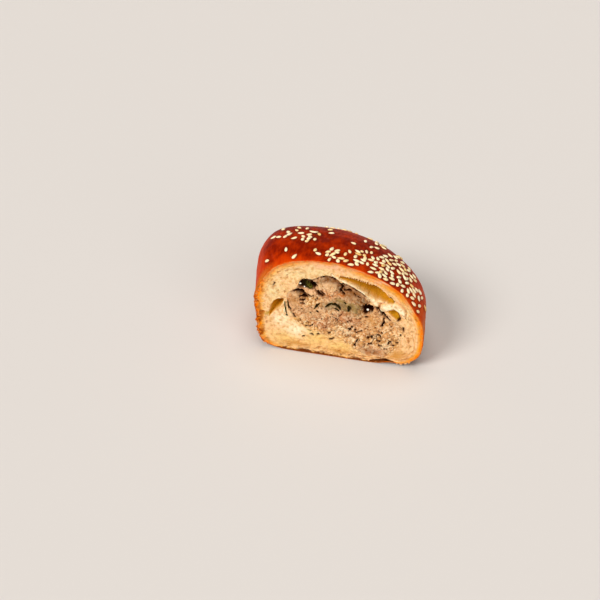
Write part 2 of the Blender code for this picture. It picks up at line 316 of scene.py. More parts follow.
def tintByLayers(tree, colour, tints):
    # lays one colour after another over the first, each as far as its own attribute says;
    # a Mix node's sockets 0, 6 and 7 are its share and its two colours
    for layer, code in tints:
        mask = addNode(tree, "ShaderNodeAttribute", {"attribute_name": layer})
        colour = addNode(tree, "ShaderNodeMix", {"data_type": "RGBA", 7: toLinear(code)},
                         {0: mask.outputs["Fac"], 6: colour}).outputs[2]
    return colour


dough = {
    # the section at the cut: its middle, its reach each way, and the powers of its four quarters
    "centreX": -3.1, "centreZ": 27.4,
    "left": 38.5, "right": 49.0, "above": 32.0, "below": 28.8,
    "upperLeft": 2.4, "upperRight": 1.8, "lowerLeft": 4.1, "lowerRight": 4.3,
    # how it closes and leans on its way back
    "length": 61.5, "sidePower": 2.6, "topPower": 2.0, "basePower": 3.4,
    "slant": -0.18, "sideSwell": 0.06, "shoulder": 1.3,
    # slow dents, and the lumps and pits where the crust tore left of the cut: depth, then a noise's
    # size, seed and layers
    "dentDepth": 0.4, "dentNoise": (13.0, 21, 4),
    "tornDepth": 0.9, "tornNoise": (1.7, 51, 4), "tornAngles": (2.3, 2.8), "tornBack": (4.5, 0.5),
    # the knife drew the cut's edge in, or spread it out: how far, at what angle, over what angle, and
    # how far back
    "pulls": ((1.95, 10, 11.5, 5.0), (-0.5, -14, 12, 6.0), (-1.4, 178, 12, 4.0), (-1.4, -150, 11, 4.0)),
    "baseRounding": 0.7,
    # where the base lifts off, near the cut
    "archX": 28.5, "archWidth": 5.0, "archHeight": 1.5, "archBack": 7.0, "archTop": 9.0,
    "columns": 640, "backRings": 60, "frontRings": 14, "frontDepth": 6.0, "faceRings": 58, "wallRings": 8,
    "rim": 0.3,
    "setback": 0.5,  # the crumb lies this far behind the edge of the crust
    # the browned band inside the crust: angles round the section, and how far it reaches in at each
    "bandAngles": (-180, -150, -120, -60, -34, -25, -8, 8, 40, 70, 90, 140, 180),
    "bandReach": (4.2, 3.4, 1.6, 1.2, 0.9, 2.2, 3.0, 3.4, 4.0, 4.0, 3.8, 4.4, 4.2),
    "pastBand": 9.0,
    # how far the dark ring round each seed reaches: pooled egg and painted shade
    "seedShadow": 1.7,
}
crumb = {
    # spacing, share, depth and seed of each kind of pore, drawn out along the crust
    "pores": ((3.4, 0.28, 0.8, 34), (1.35, 0.4, 0.45, 32), (0.75, 0.5, 0.2, 36)),
    "ring": 35.0, "stretch": 1.7,
    "open": ((-25, 42, 13, 12), (38, 24, 7, 18), (-37, 20, 4, 9), (10, 3, 30, 2)),
    "layering": 1.7,  # spacing of the faint layers parallel to the crust
    # size, seed and layers of the noises
    "waver": (3.0, 31, 3), "roll": (7, 40, 4), "grit": (1.2, 43, 2), "ledge": (1.7, 53, 2),
    "foot": (1.3, 48, 4), "speck": (1.2, 49, 4), "blister": (2.2, 52, 4),
    # dough stretched pale: the height it stands up by, then points (x, z, half width)
    "paleLines": ((1.0, ((23.0, 33.2, 0.8), (25.0, 35.2, 1.5), (28.2, 36.9, 1.6), (31.6, 36.6, 1.5),
                         (34.4, 34.0, 1.1), (35.4, 31.4, 0.6))),
                  (0.4, ((-1.5, 50.9, 0.4), (3, 48.7, 0.7), (8, 47.1, 0.7), (13, 44.6, 0.9), (17, 41, 1.2),
                         (21, 38, 1.4))),
                  (0.3, ((-27.2, 31.8, 0.3), (-26.3, 28, 0.4), (-26.6, 24, 0.4)))),
    "paleGroove": 1.2,
    # cuts and holes, painted near black as shade; the last line runs under the lifted base at the right, a
    # painted shadow
    "darkLines": (((31.4, 33.6, 0.25), (33.2, 30.4, 0.4), (32.3, 28.4, 0.3)),
                  ((27.8, 42.4, 0.2), (28.8, 41.0, 0.35), (29.5, 39.6, 0.3)),
                  ((-31.0, 41.4, 0.2), (-32.4, 40.0, 0.15)),
                  ((-13.4, 15.2, 0.4), (-12.8, 14.8, 0.3)), ((-12.2, 12.5, 0.4), (-11.4, 12.0, 0.3)),
                  ((-8.9, 12.7, 0.4), (-7.9, 13.5, 0.3)), ((-2.4, 10.7, 0.4), (-0.6, 11.7, 0.35)),
                  ((34.9, 23.9, 0.75), (34.8, 22.7, 0.75)), ((-16.6, 9.9, 0.3), (-16.0, 10.4, 0.3)),
                  ((19, 0.9, 0.3), (24, 1.8, 0.6), (28.5, 2.2, 0.7), (31.5, 2.0, 0.3))),
    "darkWidth": 1.4, "darkDepth": 1.3, "shallowest": 0.03,
}
crumbZones = {
    # tints of the crumb, and their soft patches (x, z, half width, half height)
    "rosy": ("#f3bc92", ((-3, 55.5, 14, 1.8), (24, 50.5, 7, 1.6))),
    "olive": ("#f2d6a0", ((-20, 48.5, 10, 4), (-31.5, 37, 4.5, 8), (-10, 51.5, 9, 2.5), (37, 36, 3, 5))),
    "yellow": ("#f4ca7e", ((-10, 10, 9, 6), (2, 7, 9, 4), (-14, 14.5, 4, 3), (-26, 7, 8, 5))),
    "sallow": ("#d0944a", ((33, 7.5, 4.5, 3.5), (-20, 4.5, 9, 1.5), (3, 4, 8, 1.5))),
    "cream": ("#ffeec6", ((-28.5, 19.5, 4.5, 4.0), (-20, 14, 6, 4), (21, 39.5, 3, 1.2))),
    "mossy": ("#b89a30", ((-13.2, 15.6, 1.8, 0.9), (-35.5, 21.5, 0.9, 1.2))),
}
pockets = {
    # the line of each air pocket (x, z, half width) and its depth
    "upper": (((2.6, 50.2, 1.1), (8.5, 49.2, 2.0), (14.2, 47.1, 3.0), (19.9, 44.3, 3.9), (25.6, 40.9, 2.2),
               (29.2, 39.2, 0.6)), 11.0),
    "left": (((-34.6, 20.4, 0.4), (-32.6, 25, 1.4), (-30.2, 28.8, 2.2), (-27.6, 31.4, 0.9)), 7.0),
    "right": (((27.9, 33.4, 0.8), (30.0, 32.6, 1.8), (32.3, 30.0, 1.1)), 3.2),
    "edgeNoise": (1.6, 44, 2),
    # strands: spacing, share of the way that they reach, and length
    "teeth": 1.15, "teethEnd": 0.55, "teethLength": 0.9,
    "lipAt": 1.14, "lipWidth": 0.16, "lipHeight": 0.35,  # the first two in half widths
}
filling = {
    "outline": ((-22, 22), (-24.5, 28), (-24.5, 35.5), (-19.5, 40.5), (-17.5, 45.5), (-11, 46.8), (-5, 50),
                (-1, 49.8), (3, 46.8), (10, 44.6), (16.5, 40.5), (17.5, 36.5), (23, 34), (28.5, 28.5),
                (34.5, 25), (34, 18.5), (31, 10), (26.5, 5.5), (19, 4.8), (11.5, 5.8), (8, 10), (1, 13.5),
                (-8, 14.3), (-16, 17)),
    "centreX": 4.0, "centreZ": 27.0, "length": 43.0, "rise": 1.5, "roundness": 0.55,
    "gap": 0.3,
    "gridSteps": 270, "backRings": 10,
    "overlap": 0.35,  # the meat presses this far into the dough round it
    "setback": 1.0, "shallowest": 0.12,
    # dents: x, z, radius, depth
    "hollows": ((16.7, 32.7, 2.6, 5.0), (-14.6, 43.2, 4.0, 4.2), (-18.3, 37.2, 1.8, 2.8),
                (-15.6, 35.0, 1.7, 2.6), (24.6, 30.8, 1.7, 3.0), (0.8, 31.4, 1.6, 1.8), (5.0, 42.8, 4.0, 2.0),
                (-23.6, 24.5, 1.5, 2.2), (34.4, 23.0, 1.0, 2.6), (12.5, 42.0, 2.6, 1.4),
                (-4.0, 49.2, 3.4, 1.2)),
    # crevices, painted dark in the material as shade: points (x, z, half width) of each
    "cracks": (((-17.4, 43.6, 0.3), (-18.0, 41.8, 0.9), (-16.6, 40.8, 0.6)),
               ((-13.4, 41.0, 0.8), (-11.4, 42.6, 0.7)),
               ((15.2, 29.9, 0.6), (16.0, 32.5, 1.4), (16.6, 34.9, 0.6)),
               ((18.3, 34.8, 0.5), (18.8, 31.8, 0.8)),
               ((20.2, 35.2, 0.4), (22.6, 33.0, 0.9), (24.8, 30.6, 0.8), (26.6, 29.0, 0.5),
                (28.6, 28.0, 0.3)),
               ((-9.0, 46.6, 0.3), (-5.2, 49.4, 0.4), (-0.8, 48.8, 0.6), (3.0, 45.4, 0.7), (9.6, 43.8, 0.35),
                (15.4, 40.6, 0.4)),
               ((1.6, 42.6, 0.3), (2.6, 40.4, 0.4), (4.4, 39.4, 0.25)),
               ((9.4, 41.0, 0.15), (10.6, 39.6, 0.25), (12.8, 38.8, 0.15)),
               ((-21.2, 38.2, 0.4), (-18.6, 37.8, 0.6), (-16.6, 36.4, 0.7), (-13.6, 34.9, 0.4),
                (-11.6, 36.2, 0.2)),
               ((-18.6, 34.4, 0.3), (-16.4, 34.1, 0.5)), ((-18.2, 32.6, 0.3), (-16.2, 32.4, 0.4)),
               ((-17.8, 30.8, 0.3), (-16.0, 30.6, 0.35)), ((-14.8, 33.6, 0.3), (-16.4, 34.0, 0.5)),
               ((-10.4, 39.2, 0.4), (-8.6, 38.2, 0.6), (-6.8, 37.2, 0.5)),
               ((-7.6, 39.4, 0.4), (-6.2, 38.4, 0.4)),
               ((2.0, 45.6, 0.3), (3.4, 43.6, 0.5), (3.0, 42.0, 0.4)), ((4.2, 41.0, 0.3), (7.2, 41.8, 0.4)),
               ((-24.6, 30.8, 0.3), (-24.2, 27.6, 0.5), (-22.8, 25.8, 0.3)),
               ((-22.0, 23.6, 0.3), (-21.2, 21.8, 0.4)),
               ((-17.4, 18.6, 0.15), (-15.4, 17.4, 0.3), (-13.6, 16.8, 0.35), (-11.8, 17.6, 0.25),
                (-9.8, 20.2, 0.2)),
               ((24.8, 27.8, 0.3), (25.1, 25.0, 0.4), (24.2, 21.8, 0.3)),
               ((34.2, 20.6, 0.15), (33.8, 19.2, 0.2)),
               ((-1.0, 25.2, 0.3), (0.2, 24.4, 0.3)), ((0.8, 23.4, 0.4), (2.4, 21.4, 0.4), (4.6, 20.4, 0.3)),
               ((5.4, 19.6, 0.5), (7.2, 18.8, 0.6), (8.8, 19.8, 0.3)), ((6.6, 13.8, 0.5), (8.0, 15.6, 0.4)),
               ((12.4, 16.8, 0.5), (14.0, 18.4, 0.35)),
               ((11.4, 12.0, 0.3), (10.0, 10.2, 0.45), (10.2, 8.6, 0.3)),
               ((17.4, 10.8, 0.3), (19.4, 11.2, 0.4)), ((22.6, 11.2, 0.3), (24.0, 11.0, 0.4)),
               ((25.7, 9.8, 0.4), (26.6, 9.4, 0.5)),
               ((22.4, 13.2, 0.3), (24.0, 14.0, 0.4)), ((28.0, 12.8, 0.4), (29.0, 14.8, 0.4)),
               ((18.4, 14.2, 0.3), (19.2, 15.8, 0.35)),
               ((25.2, 17.2, 0.3), (26.6, 16.4, 0.4)), ((22.2, 17.6, 0.3), (23.6, 16.8, 0.35)),
               ((3.6, 16.2, 0.3), (4.8, 17.2, 0.3)),
               ((-6.2, 16.6, 0.3), (-5.0, 17.4, 0.3)), ((-3.4, 14.4, 0.4), (-2.2, 15.2, 0.3)),
               ((6.0, 8.4, 0.4), (6.8, 8.8, 0.3)),
               ((15.4, 28.0, 0.3), (17.0, 27.2, 0.3)), ((11.6, 25.4, 0.4), (12.8, 26.6, 0.25)),
               ((29.8, 18.2, 0.3), (30.8, 19.2, 0.3))),
    "crackDepth": 1.6, "crackWidth": 1.3,
}


def sectionRadius(angle, share):
    # superellipse in four quarters: (|cos/width|^p + |sin/height|^p)^(-1/p)
    across, up = np.cos(angle), np.sin(angle)
    leftward, above = across < 0, up >= 0
    squarer = dough["shoulder"] * np.sin(math.pi * share)
    upper = np.where(leftward, dough["upperLeft"] + squarer, dough["upperRight"])
    power = np.where(above, upper, np.where(leftward, dough["lowerLeft"], dough["lowerRight"]))
    width = np.where(leftward, dough["left"], dough["right"])
    height = np.where(above, dough["above"], dough["below"])
    return (np.abs(across / width) ** power + np.abs(up / height) ** power) ** (-1 / power)


def taper(share, power):
    # quarter of a superellipse: full at the cut, nothing at the rounded end
    return np.maximum(1 - share ** power, 0) ** (1 / power)


def crustPoint(angle, y, uneven=0.0):
    # the section's radius at this angle, less the unevenness, drawn in towards the rounded end
    share = np.minimum(y / dough["length"], 1.0)
    radius = sectionRadius(angle, share) - uneven
    swell = 1 + dough["sideSwell"] * np.sin(math.pi * share)
    lean = dough["centreX"] + dough["slant"] * y
    x = lean + radius * np.cos(angle) * taper(share, dough["sidePower"]) * swell
    rise = radius * np.sin(angle)
    high = taper(share, dough["topPower"])
    low = taper(share, dough["basePower"])
    z = dough["centreZ"] + rise * np.where(rise >= 0, high, low)
    return np.stack(np.broadcast_arrays(x, y, z), axis=-1)


def tornShare(angle, y):
    # 1 on the left of the cut, where the crust is rough, fading out round the section and to the back
    return smoothStep(*dough["tornAngles"], np.abs(angle)) * smoothStep(*dough["tornBack"], y)


def crustSurface(angle, y):
    # the crust with its slow dents and torn edge, which only ever lie inwards, and a bell for each pull
    plain = crustPoint(angle, y)
    dents = dough["dentDepth"] * (1 + layeredNoise(plain, *dough["dentNoise"]))
    torn = dough["tornDepth"] * (layeredNoise(plain, *dough["tornNoise"]) + 0.3) * tornShare(angle, y)
    uneven = np.maximum(dents, 0) + np.maximum(torn, 0)
    for pull, middle, spread, depth in dough["pulls"]:
        beside = np.mod(np.degrees(angle) - middle + 180, 360) - 180
        uneven = uneven + pull * np.exp(-(beside / spread) ** 2) * np.exp(-(y / depth) ** 1.5)
    return crustPoint(angle, y, uneven)


def flatBase(points):
    # lays everything below the base on it: half of z plus the root of z^2 + r^2, less the foot's own
    # height, and lifts the arch by a bell
    x, y, z = points[..., 0], points[..., 1], points[..., 2]
    round2 = dough["baseRounding"] ** 2
    foot = dough["centreZ"] - dough["below"]
    level = 0.5 * (z + np.sqrt(z * z + round2)) - 0.5 * (foot + math.sqrt(foot * foot + round2))
    arch = np.exp(-((x - dough["archX"]) / dough["archWidth"]) ** 2) * smoothStep(dough["archBack"], 0, y)
    level = level + dough["archHeight"] * arch * smoothStep(dough["archTop"], 0, z)
    return np.stack([x, y, np.maximum(level, 0)], axis=-1)


def outlineRadius(angle):
    # distance from the filling's middle to its outline: half a cosine wave from each point to the next
    away = np.array(filling["outline"]) - [filling["centreX"], filling["centreZ"]]
    spoke, reach = np.arctan2(away[:, 1], away[:, 0]), np.hypot(away[:, 0], away[:, 1])
    order = np.argsort(spoke)
    spoke, reach = spoke[order], reach[order]
    spoke = np.concatenate([[spoke[-1] - math.tau], spoke, [spoke[0] + math.tau]])
    reach = np.concatenate([[reach[-1]], reach, [reach[0]]])
    after = np.clip(np.searchsorted(spoke, angle), 1, len(spoke) - 1)
    share = (angle - spoke[after - 1]) / (spoke[after] - spoke[after - 1])
    return reach[after - 1] + (reach[after] - reach[after - 1]) * (1 - np.cos(math.pi * share)) / 2


def cavityPoint(angle, y, grow):
    # the filling's outline, drawn in by a power of the cosine as it runs back
    depth = np.clip(y / (filling["length"] + grow), 0, 1)
    reach = (1 - depth ** 2) ** (filling["roundness"] / 2)
    radius = (outlineRadius(angle) + grow) * reach
    x = filling["centreX"] + radius * np.cos(angle) + dough["slant"] * y
    z = filling["centreZ"] + radius * np.sin(angle) + filling["rise"] * y / filling["length"]
    return np.stack(np.broadcast_arrays(x, y, z), axis=-1)


def crumbPores(laid):
    # half an ellipse in each chosen cell: how far each point lies in a pore, and how deep that sinks it
    pores, sunk = np.zeros(laid.shape[:-1]), np.zeros(laid.shape[:-1])
    for size, share, deepest, seed in crumb["pores"]:
        nearest, _, own = cellNoise(laid, size, seed)
        reach = 0.15 + 0.42 * own / share  # in cells
        hole = np.where(own < share, np.sqrt(np.maximum(1 - (nearest / reach) ** 2, 0)), 0)
        pores = np.maximum(pores, hole * min(1.0, 0.45 + deepest))
        sunk = sunk + deepest * hole
    return pores, sunk


def openPockets(depth, face, inner):
    # half an ellipse across the line of each air pocket, with a bell for the lip that stands up round it
    x, z = face[..., 0], face[..., 2]
    pocket, shade = np.zeros_like(x), np.zeros_like(x)
    for name in ("upper", "left", "right"):
        line, deepest = pockets[name]
        away, side, way = nearLine(x, z, line)
        away = away * (1 + 0.07 * layeredNoise(face, *pockets["edgeNoise"]))
        brink = away
        if name == "upper":  # ragged strands hang from its left end
            comb = np.abs(np.sin(x * math.pi / pockets["teeth"] + 1.5 * softNoise(face, 2.5, 46)))
            strand = smoothStep(pockets["teethEnd"] + 0.15, pockets["teethEnd"] - 0.25, way)
            brink = away * (1 + pockets["teethLength"] * (1 - comb) * strand * (side > 0))
        widths = [point[2] for point in line]
        width = np.interp(way, np.linspace(0, 1, len(line)), widths) / max(widths)
        hollow = np.sqrt(np.maximum(1 - away ** 2, 0)) * width ** 1.2 * smoothStep(1.02, 0.9, brink)
        pocket = np.maximum(pocket, smoothStep(1.05, 0.88, brink))
        shade = np.maximum(shade, hollow)
        lip = np.exp(-((brink - pockets["lipAt"]) / pockets["lipWidth"]) ** 2) * width
        depth = depth - pockets["lipHeight"] * lip * (1 + 0.6 * softNoise(face, 1.3, 47)) * inner
        depth = np.maximum(depth, deepest * hollow + dough["setback"] * (hollow > 0))
    return depth, pocket, np.clip(shade, 0, 1)


def scorchedFoot(face):
    # the dark underside at the cut: a solid line, and broken specks over it
    x, z = face[..., 0], face[..., 2]
    low = z + 0.6 * layeredNoise(face * [0.6, 1, 1], *crumb["foot"])
    speck = smoothStep(0.1, 0.6, layeredNoise(face * [0.7, 1, 1.2], *crumb["speck"]))
    speck = speck * smoothStep(5.0, 1.2, z) * smoothStep(-37, -30, x) * smoothStep(34, 12, x)
    return np.clip(smoothStep(1.9, 0.8, low) * smoothStep(36, 31, x) + 0.6 * speck, 0, 1)


def doughFace(x, z, angle, inward):
    # depth of the cut crumb behind the knife's plane, and the masks that its material reads: pores, sine
    # waves for the faint layers, the pockets, and bells along the pale and the dark lines
    face = facePoints(x, z)
    waver = layeredNoise(face, *crumb["waver"])
    ring = crumb["ring"] / crumb["stretch"]
    laid = np.stack([ring * np.cos(angle), ring * np.sin(angle), inward], axis=-1) + 0.5 * waver[..., None]
    pores, sunk = crumbPores(laid)
    masks = zoneMasks(crumbZones, x + waver, z + waver)
    rough = (0.25 + 0.75 * spots(x, z, crumb["open"])) * (1 - 0.8 * masks["cream"])
    inner = smoothStep(0.5, 1.8, inward)  # the rim stays flat
    layered = np.sin(inward * math.tau / crumb["layering"] + 2.2 * softNoise(face, 6, 41))
    layered = layered * smoothStep(-5, 25, x)
    depth = dough["setback"] * inner + 0.25 * layeredNoise(face, *crumb["roll"]) * inner
    grit = 0.12 * (0.4 + rough) * layeredNoise(face, *crumb["grit"])
    depth = depth + inner * (rough * sunk + 0.07 * layered + grit)
    depth, pocket, shade = openPockets(depth, face, inner)
    for height, line in crumb["paleLines"]:
        away = nearLine(x + 0.3 * waver, z - 0.3 * waver, line)[0]
        near = smoothStep(1.5, 0.5, away)
        depth = depth - height * near * (1 - pocket) * (1 + 0.5 * layeredNoise(face, *crumb["ledge"]))
        depth = depth + crumb["paleGroove"] * height * np.exp(-((away - 1.65) / 0.35) ** 2)
        masks["cream"] = np.maximum(masks["cream"], near)
    split = nearestLine(x + 0.25 * waver, z - 0.25 * waver, crumb["darkLines"])
    split = np.exp(-(split / crumb["darkWidth"]) ** 2)
    depth = np.where(pocket > 0.5, depth, np.maximum(depth, crumb["shallowest"])) + crumb["darkDepth"] * split
    # the rough left edge is specked
    blister = smoothStep(0.0, 0.6, layeredNoise(face + 1.5 * waver[..., None], *crumb["blister"]))
    blister = blister * smoothStep(-32, -38, x)
    masks["scorch"] = scorchedFoot(face)
    masks["ragged"] = np.clip(0.95 * blister * smoothStep(4.6, 1.0, inward + 1.5 * waver), 0, 1)
    streak = 0.55 * smoothStep(0.2, 0.9, layered) * smoothStep(7.0, 2.5, inward)
    masks["streak"] = streak * (1 - masks["cream"])
    # the pores are painted darker: painted shade
    masks["pore"] = pores * rough * inner * (1 - pocket)
    # the pockets are painted gold, darker with depth: painted bounced light and painted shade
    masks["pocket"] = pocket
    masks["pocketDepth"] = shade
    # the dark lines are painted brown, then near black: painted shade
    masks["split"] = split
    return depth, masks


def skinLayers(skin, angle, seedCentres):
    # what the crust's material reads. The oven browns what faces up most, and least where the dough
    # bulges over its base; the left shoulder is darker still by painted shade
    aroundRun = np.roll(skin, -1, axis=1) - np.roll(skin, 1, axis=1)
    facing = np.cross(aroundRun, np.gradient(skin, axis=0))
    up = facing[..., 2] / np.maximum(np.linalg.norm(facing, axis=-1), 1e-9)
    up = up * np.sign(up[len(up) // 2, skin.shape[1] * 3 // 4])  # the column at the section's top faces up
    bake = 0.24 + 0.24 * smoothStep(-0.7, 0.1, up) + 0.4 * smoothStep(0.0, 0.98, up)
    # the bell at angle 2.6 darkens the left shoulder: painted shade
    bake = bake + 0.14 * layeredNoise(skin, 13, 61, 3) + 0.06 * np.exp(-((angle - 2.6) / 0.45) ** 2)
    paler = 0.18 - 0.1 * smoothStep(0.6, 1.0, np.abs(np.cos(angle)))  # near the cut
    bed = np.full(skin.shape[:-1], farAway)
    for centre in seedCentres:
        bed = np.minimum(bed, np.linalg.norm(skin - centre, axis=-1))
    return {
        "bake": np.clip(bake - paler * np.exp(-skin[..., 1] / 4.5), 0, 1),
        "under": smoothStep(-0.55, -0.95, up),
        "ragged": tornShare(angle, skin[..., 1]),
        # a dark ring round each seed: pooled egg and painted shade
        "nearSeed": np.exp(-(bed / dough["seedShadow"]) ** 2),
    }


def buildDough(materials, seedCentres):
    columns, rimWidth = dough["columns"], dough["rim"]
    angle = np.linspace(-math.pi, math.pi, columns, endpoint=False)[None, :]
    # crust: from the rounded end to the cut, rings closing up near both
    stop = math.acos(dough["frontDepth"] / dough["length"])
    backY = dough["length"] * np.cos(np.linspace(0, stop, dough["backRings"])[1:])
    frontY = np.linspace(dough["frontDepth"], rimWidth, dough["frontRings"])[1:]
    y = np.concatenate([backY, frontY])[:, None]
    crust = flatBase(crustSurface(angle, y))
    edge = flatBase(crustSurface(angle, np.full_like(angle, rimWidth)))[0]
    inward = np.array([filling["centreX"], 0, filling["centreZ"]]) - edge
    inward = inward / np.linalg.norm(inward, axis=-1)[:, None]
    rim = edge + inward * rimWidth
    rim[:, 1] = 0.04
    corner = edge + inward * rimWidth * 0.3
    corner[:, 1] = rimWidth * 0.3
    # cut face: straight lines from the rim to the filling's mouth, sunk by the crumb's relief
    mouth = cavityPoint(angle, np.zeros_like(angle), filling["gap"])[0]
    share = np.linspace(0, 1, dough["faceRings"] + 1)[1:, None]
    flat = rim[None] * (1 - share[..., None]) + mouth[None] * share[..., None]
    distance = share * np.linalg.norm(mouth - rim, axis=-1)[None]
    depth, masks = doughFace(flat[..., 0], flat[..., 2], np.broadcast_to(angle, distance.shape), distance)
    face = flat.copy()
    face[..., 1] = depth
    # cavity wall: back from the mouth to a point
    deepest = filling["length"] + filling["gap"]
    turn = np.linspace(0, math.pi / 2, dough["wallRings"] + 1)[1:-1, None] ** 1.25 / (math.pi / 2) ** 0.25
    wallY = np.maximum(deepest * np.sin(turn), face[-1:, :, 1] + 0.3)
    wall = cavityPoint(angle, wallY, filling["gap"])
    grid = np.concatenate([crust, corner[None], rim[None], face, wall])
    rows = len(grid)
    farX = dough["centreX"] + dough["slant"] * dough["length"]
    farEnd = np.array([farX, dough["length"], dough["centreZ"]])
    deepEnd = cavityPoint(np.zeros(1), np.full(1, deepest), filling["gap"])[0]
    points = np.concatenate([grid.reshape(-1, 3), [farEnd], [deepEnd]])
    quads = gridFaces(rows, columns)
    fans = [fanFaces(np.arange(columns)[::-1], rows * columns),
            fanFaces(np.arange((rows - 1) * columns, rows * columns), rows * columns + 1)]
    crustRows = len(crust) + 1
    onCrumb = np.arange(len(quads)) >= crustRows * columns
    indices = np.concatenate([onCrumb, np.zeros(columns), np.ones(columns)]).astype(np.int32)
    # masks for the materials, zero wherever they don't apply
    layers = {name: np.zeros((rows, columns)) for name in ("bake", "nearSeed", "inward", "under", *masks)}
    faceRows = slice(crustRows + 1, crustRows + 1 + dough["faceRings"])
    for name, values in masks.items():
        layers[name][faceRows] = values
    bandReach = np.interp(np.degrees(angle), dough["bandAngles"], dough["bandReach"])
    layers["inward"][faceRows] = distance / bandReach
    layers["inward"][faceRows.stop:] = dough["pastBand"]
    for name, values in skinLayers(grid[:crustRows + 1], angle, seedCentres).items():
        layers[name][:crustRows + 1] = values
    layers = {name: np.append(values.ravel(), [0, 0]) for name, values in layers.items()}
    layers["bake"][-2] = 0.5  # the rounded end's own point
    makePiece("bakedDough", points, [quads, *fans], materials, "pie_dough", layers, indices)


def eggWashedCrust():
    # egg-washed yeast dough, baked dark: a thin glassy skin over red-brown crust, deepest on top, with
    # brush marks that change the gloss, and a dark ring round each seed that is baked egg pooled there and
    # painted shade
    material, tree, shader, place = newMaterial("eggWashedCrust", {
        "IOR": 1.45, "Specular IOR Level": 0.08, "Specular Tint": toLinear("#e88a58"),
        "Coat Weight": 0.04, "Coat Roughness": 0.2, "Coat IOR": 1.35})
    level = addNode(tree, "ShaderNodeAttribute", {"attribute_name": "bake"}).outputs["Fac"]
    # 4.5 mm mottling, and brush strokes 1.5 mm wide that run back
    mottle = addNode(tree, "ShaderNodeTexNoise", {"Scale": 1 / (4.5 * millimetre), "Detail": 5.0},
                     {"Vector": place})
    brush = addNode(tree, "ShaderNodeMapping", {"Scale": (1, 0.25, 1)}, {"Vector": place})
    strokes = addNode(tree, "ShaderNodeTexNoise", {"Scale": 1 / (1.5 * millimetre), "Detail": 4.0},
                      {"Vector": brush.outputs[0]})
    for noise, most in ((mottle, 0.08), (strokes, 0.07)):
        change = addNode(tree, "ShaderNodeMapRange",
                         {"From Min": 0.3, "From Max": 0.7, "To Min": -most, "To Max": most},
                         {"Value": noise.outputs["Fac"]})
        level = addNode(tree, "ShaderNodeMath", {"operation": "ADD"},
                        {0: level, 1: change.outputs[0]}).outputs[0]
    ramp = addNode(tree, "ShaderNodeValToRGB", {"stops": [
        (0.05, "#d4904a"), (0.25, "#d07020"), (0.42, "#cc540c"),
        (0.58, "#cc4002"), (0.74, "#be3200"), (0.96, "#801600")]}, {"Fac": level})
    # pinholes of burst bubbles, about 3.4 mm apart
    pinhole = addNode(tree, "ShaderNodeTexVoronoi", {"Scale": 1 / (3.4 * millimetre)}, {"Vector": place})
    pin = addNode(tree, "ShaderNodeMapRange",
                  {"From Min": 0.03, "From Max": 0.11, "To Min": 0.5, "To Max": 0.0},
                  {"Value": pinhole.outputs["Distance"]})
    colour = addNode(tree, "ShaderNodeMix", {"data_type": "RGBA", 7: toLinear("#6a1a02")},
                     {0: pin.outputs[0], 6: ramp.outputs["Color"]}).outputs[2]
    # the dark ring round each seed is pooled egg and painted shade
    colour = tintByLayers(tree, colour, [
        ("ragged", "#c86a1c"), ("nearSeed", "#6c1802"), ("under", "#6e3412")])
    gloss = addNode(tree, "ShaderNodeMapRange", {"To Min": 0.4, "To Max": 0.75},
                    {"Value": strokes.outputs["Fac"]})
    # 1.2 mm wrinkles, less the pinholes
    skin = addNode(tree, "ShaderNodeTexNoise",
                   {"Scale": 1 / (1.2 * millimetre), "Detail": 5.0, "Roughness": 0.6}, {"Vector": place})
    height = addNode(tree, "ShaderNodeMath", {"operation": "MULTIPLY_ADD", 1: -0.5},
                     {0: pin.outputs[0], 2: skin.outputs["Fac"]})
    bump = addNode(tree, "ShaderNodeBump", {"Strength": 0.6, "Distance": 0.2 * millimetre},
                   {"Height": height.outputs[0]})
    tree.links.new(colour, shader.inputs["Base Color"])
    tree.links.new(gloss.outputs[0], shader.inputs["Roughness"])
    tree.links.new(bump.outputs[0], shader.inputs["Normal"])
    return material


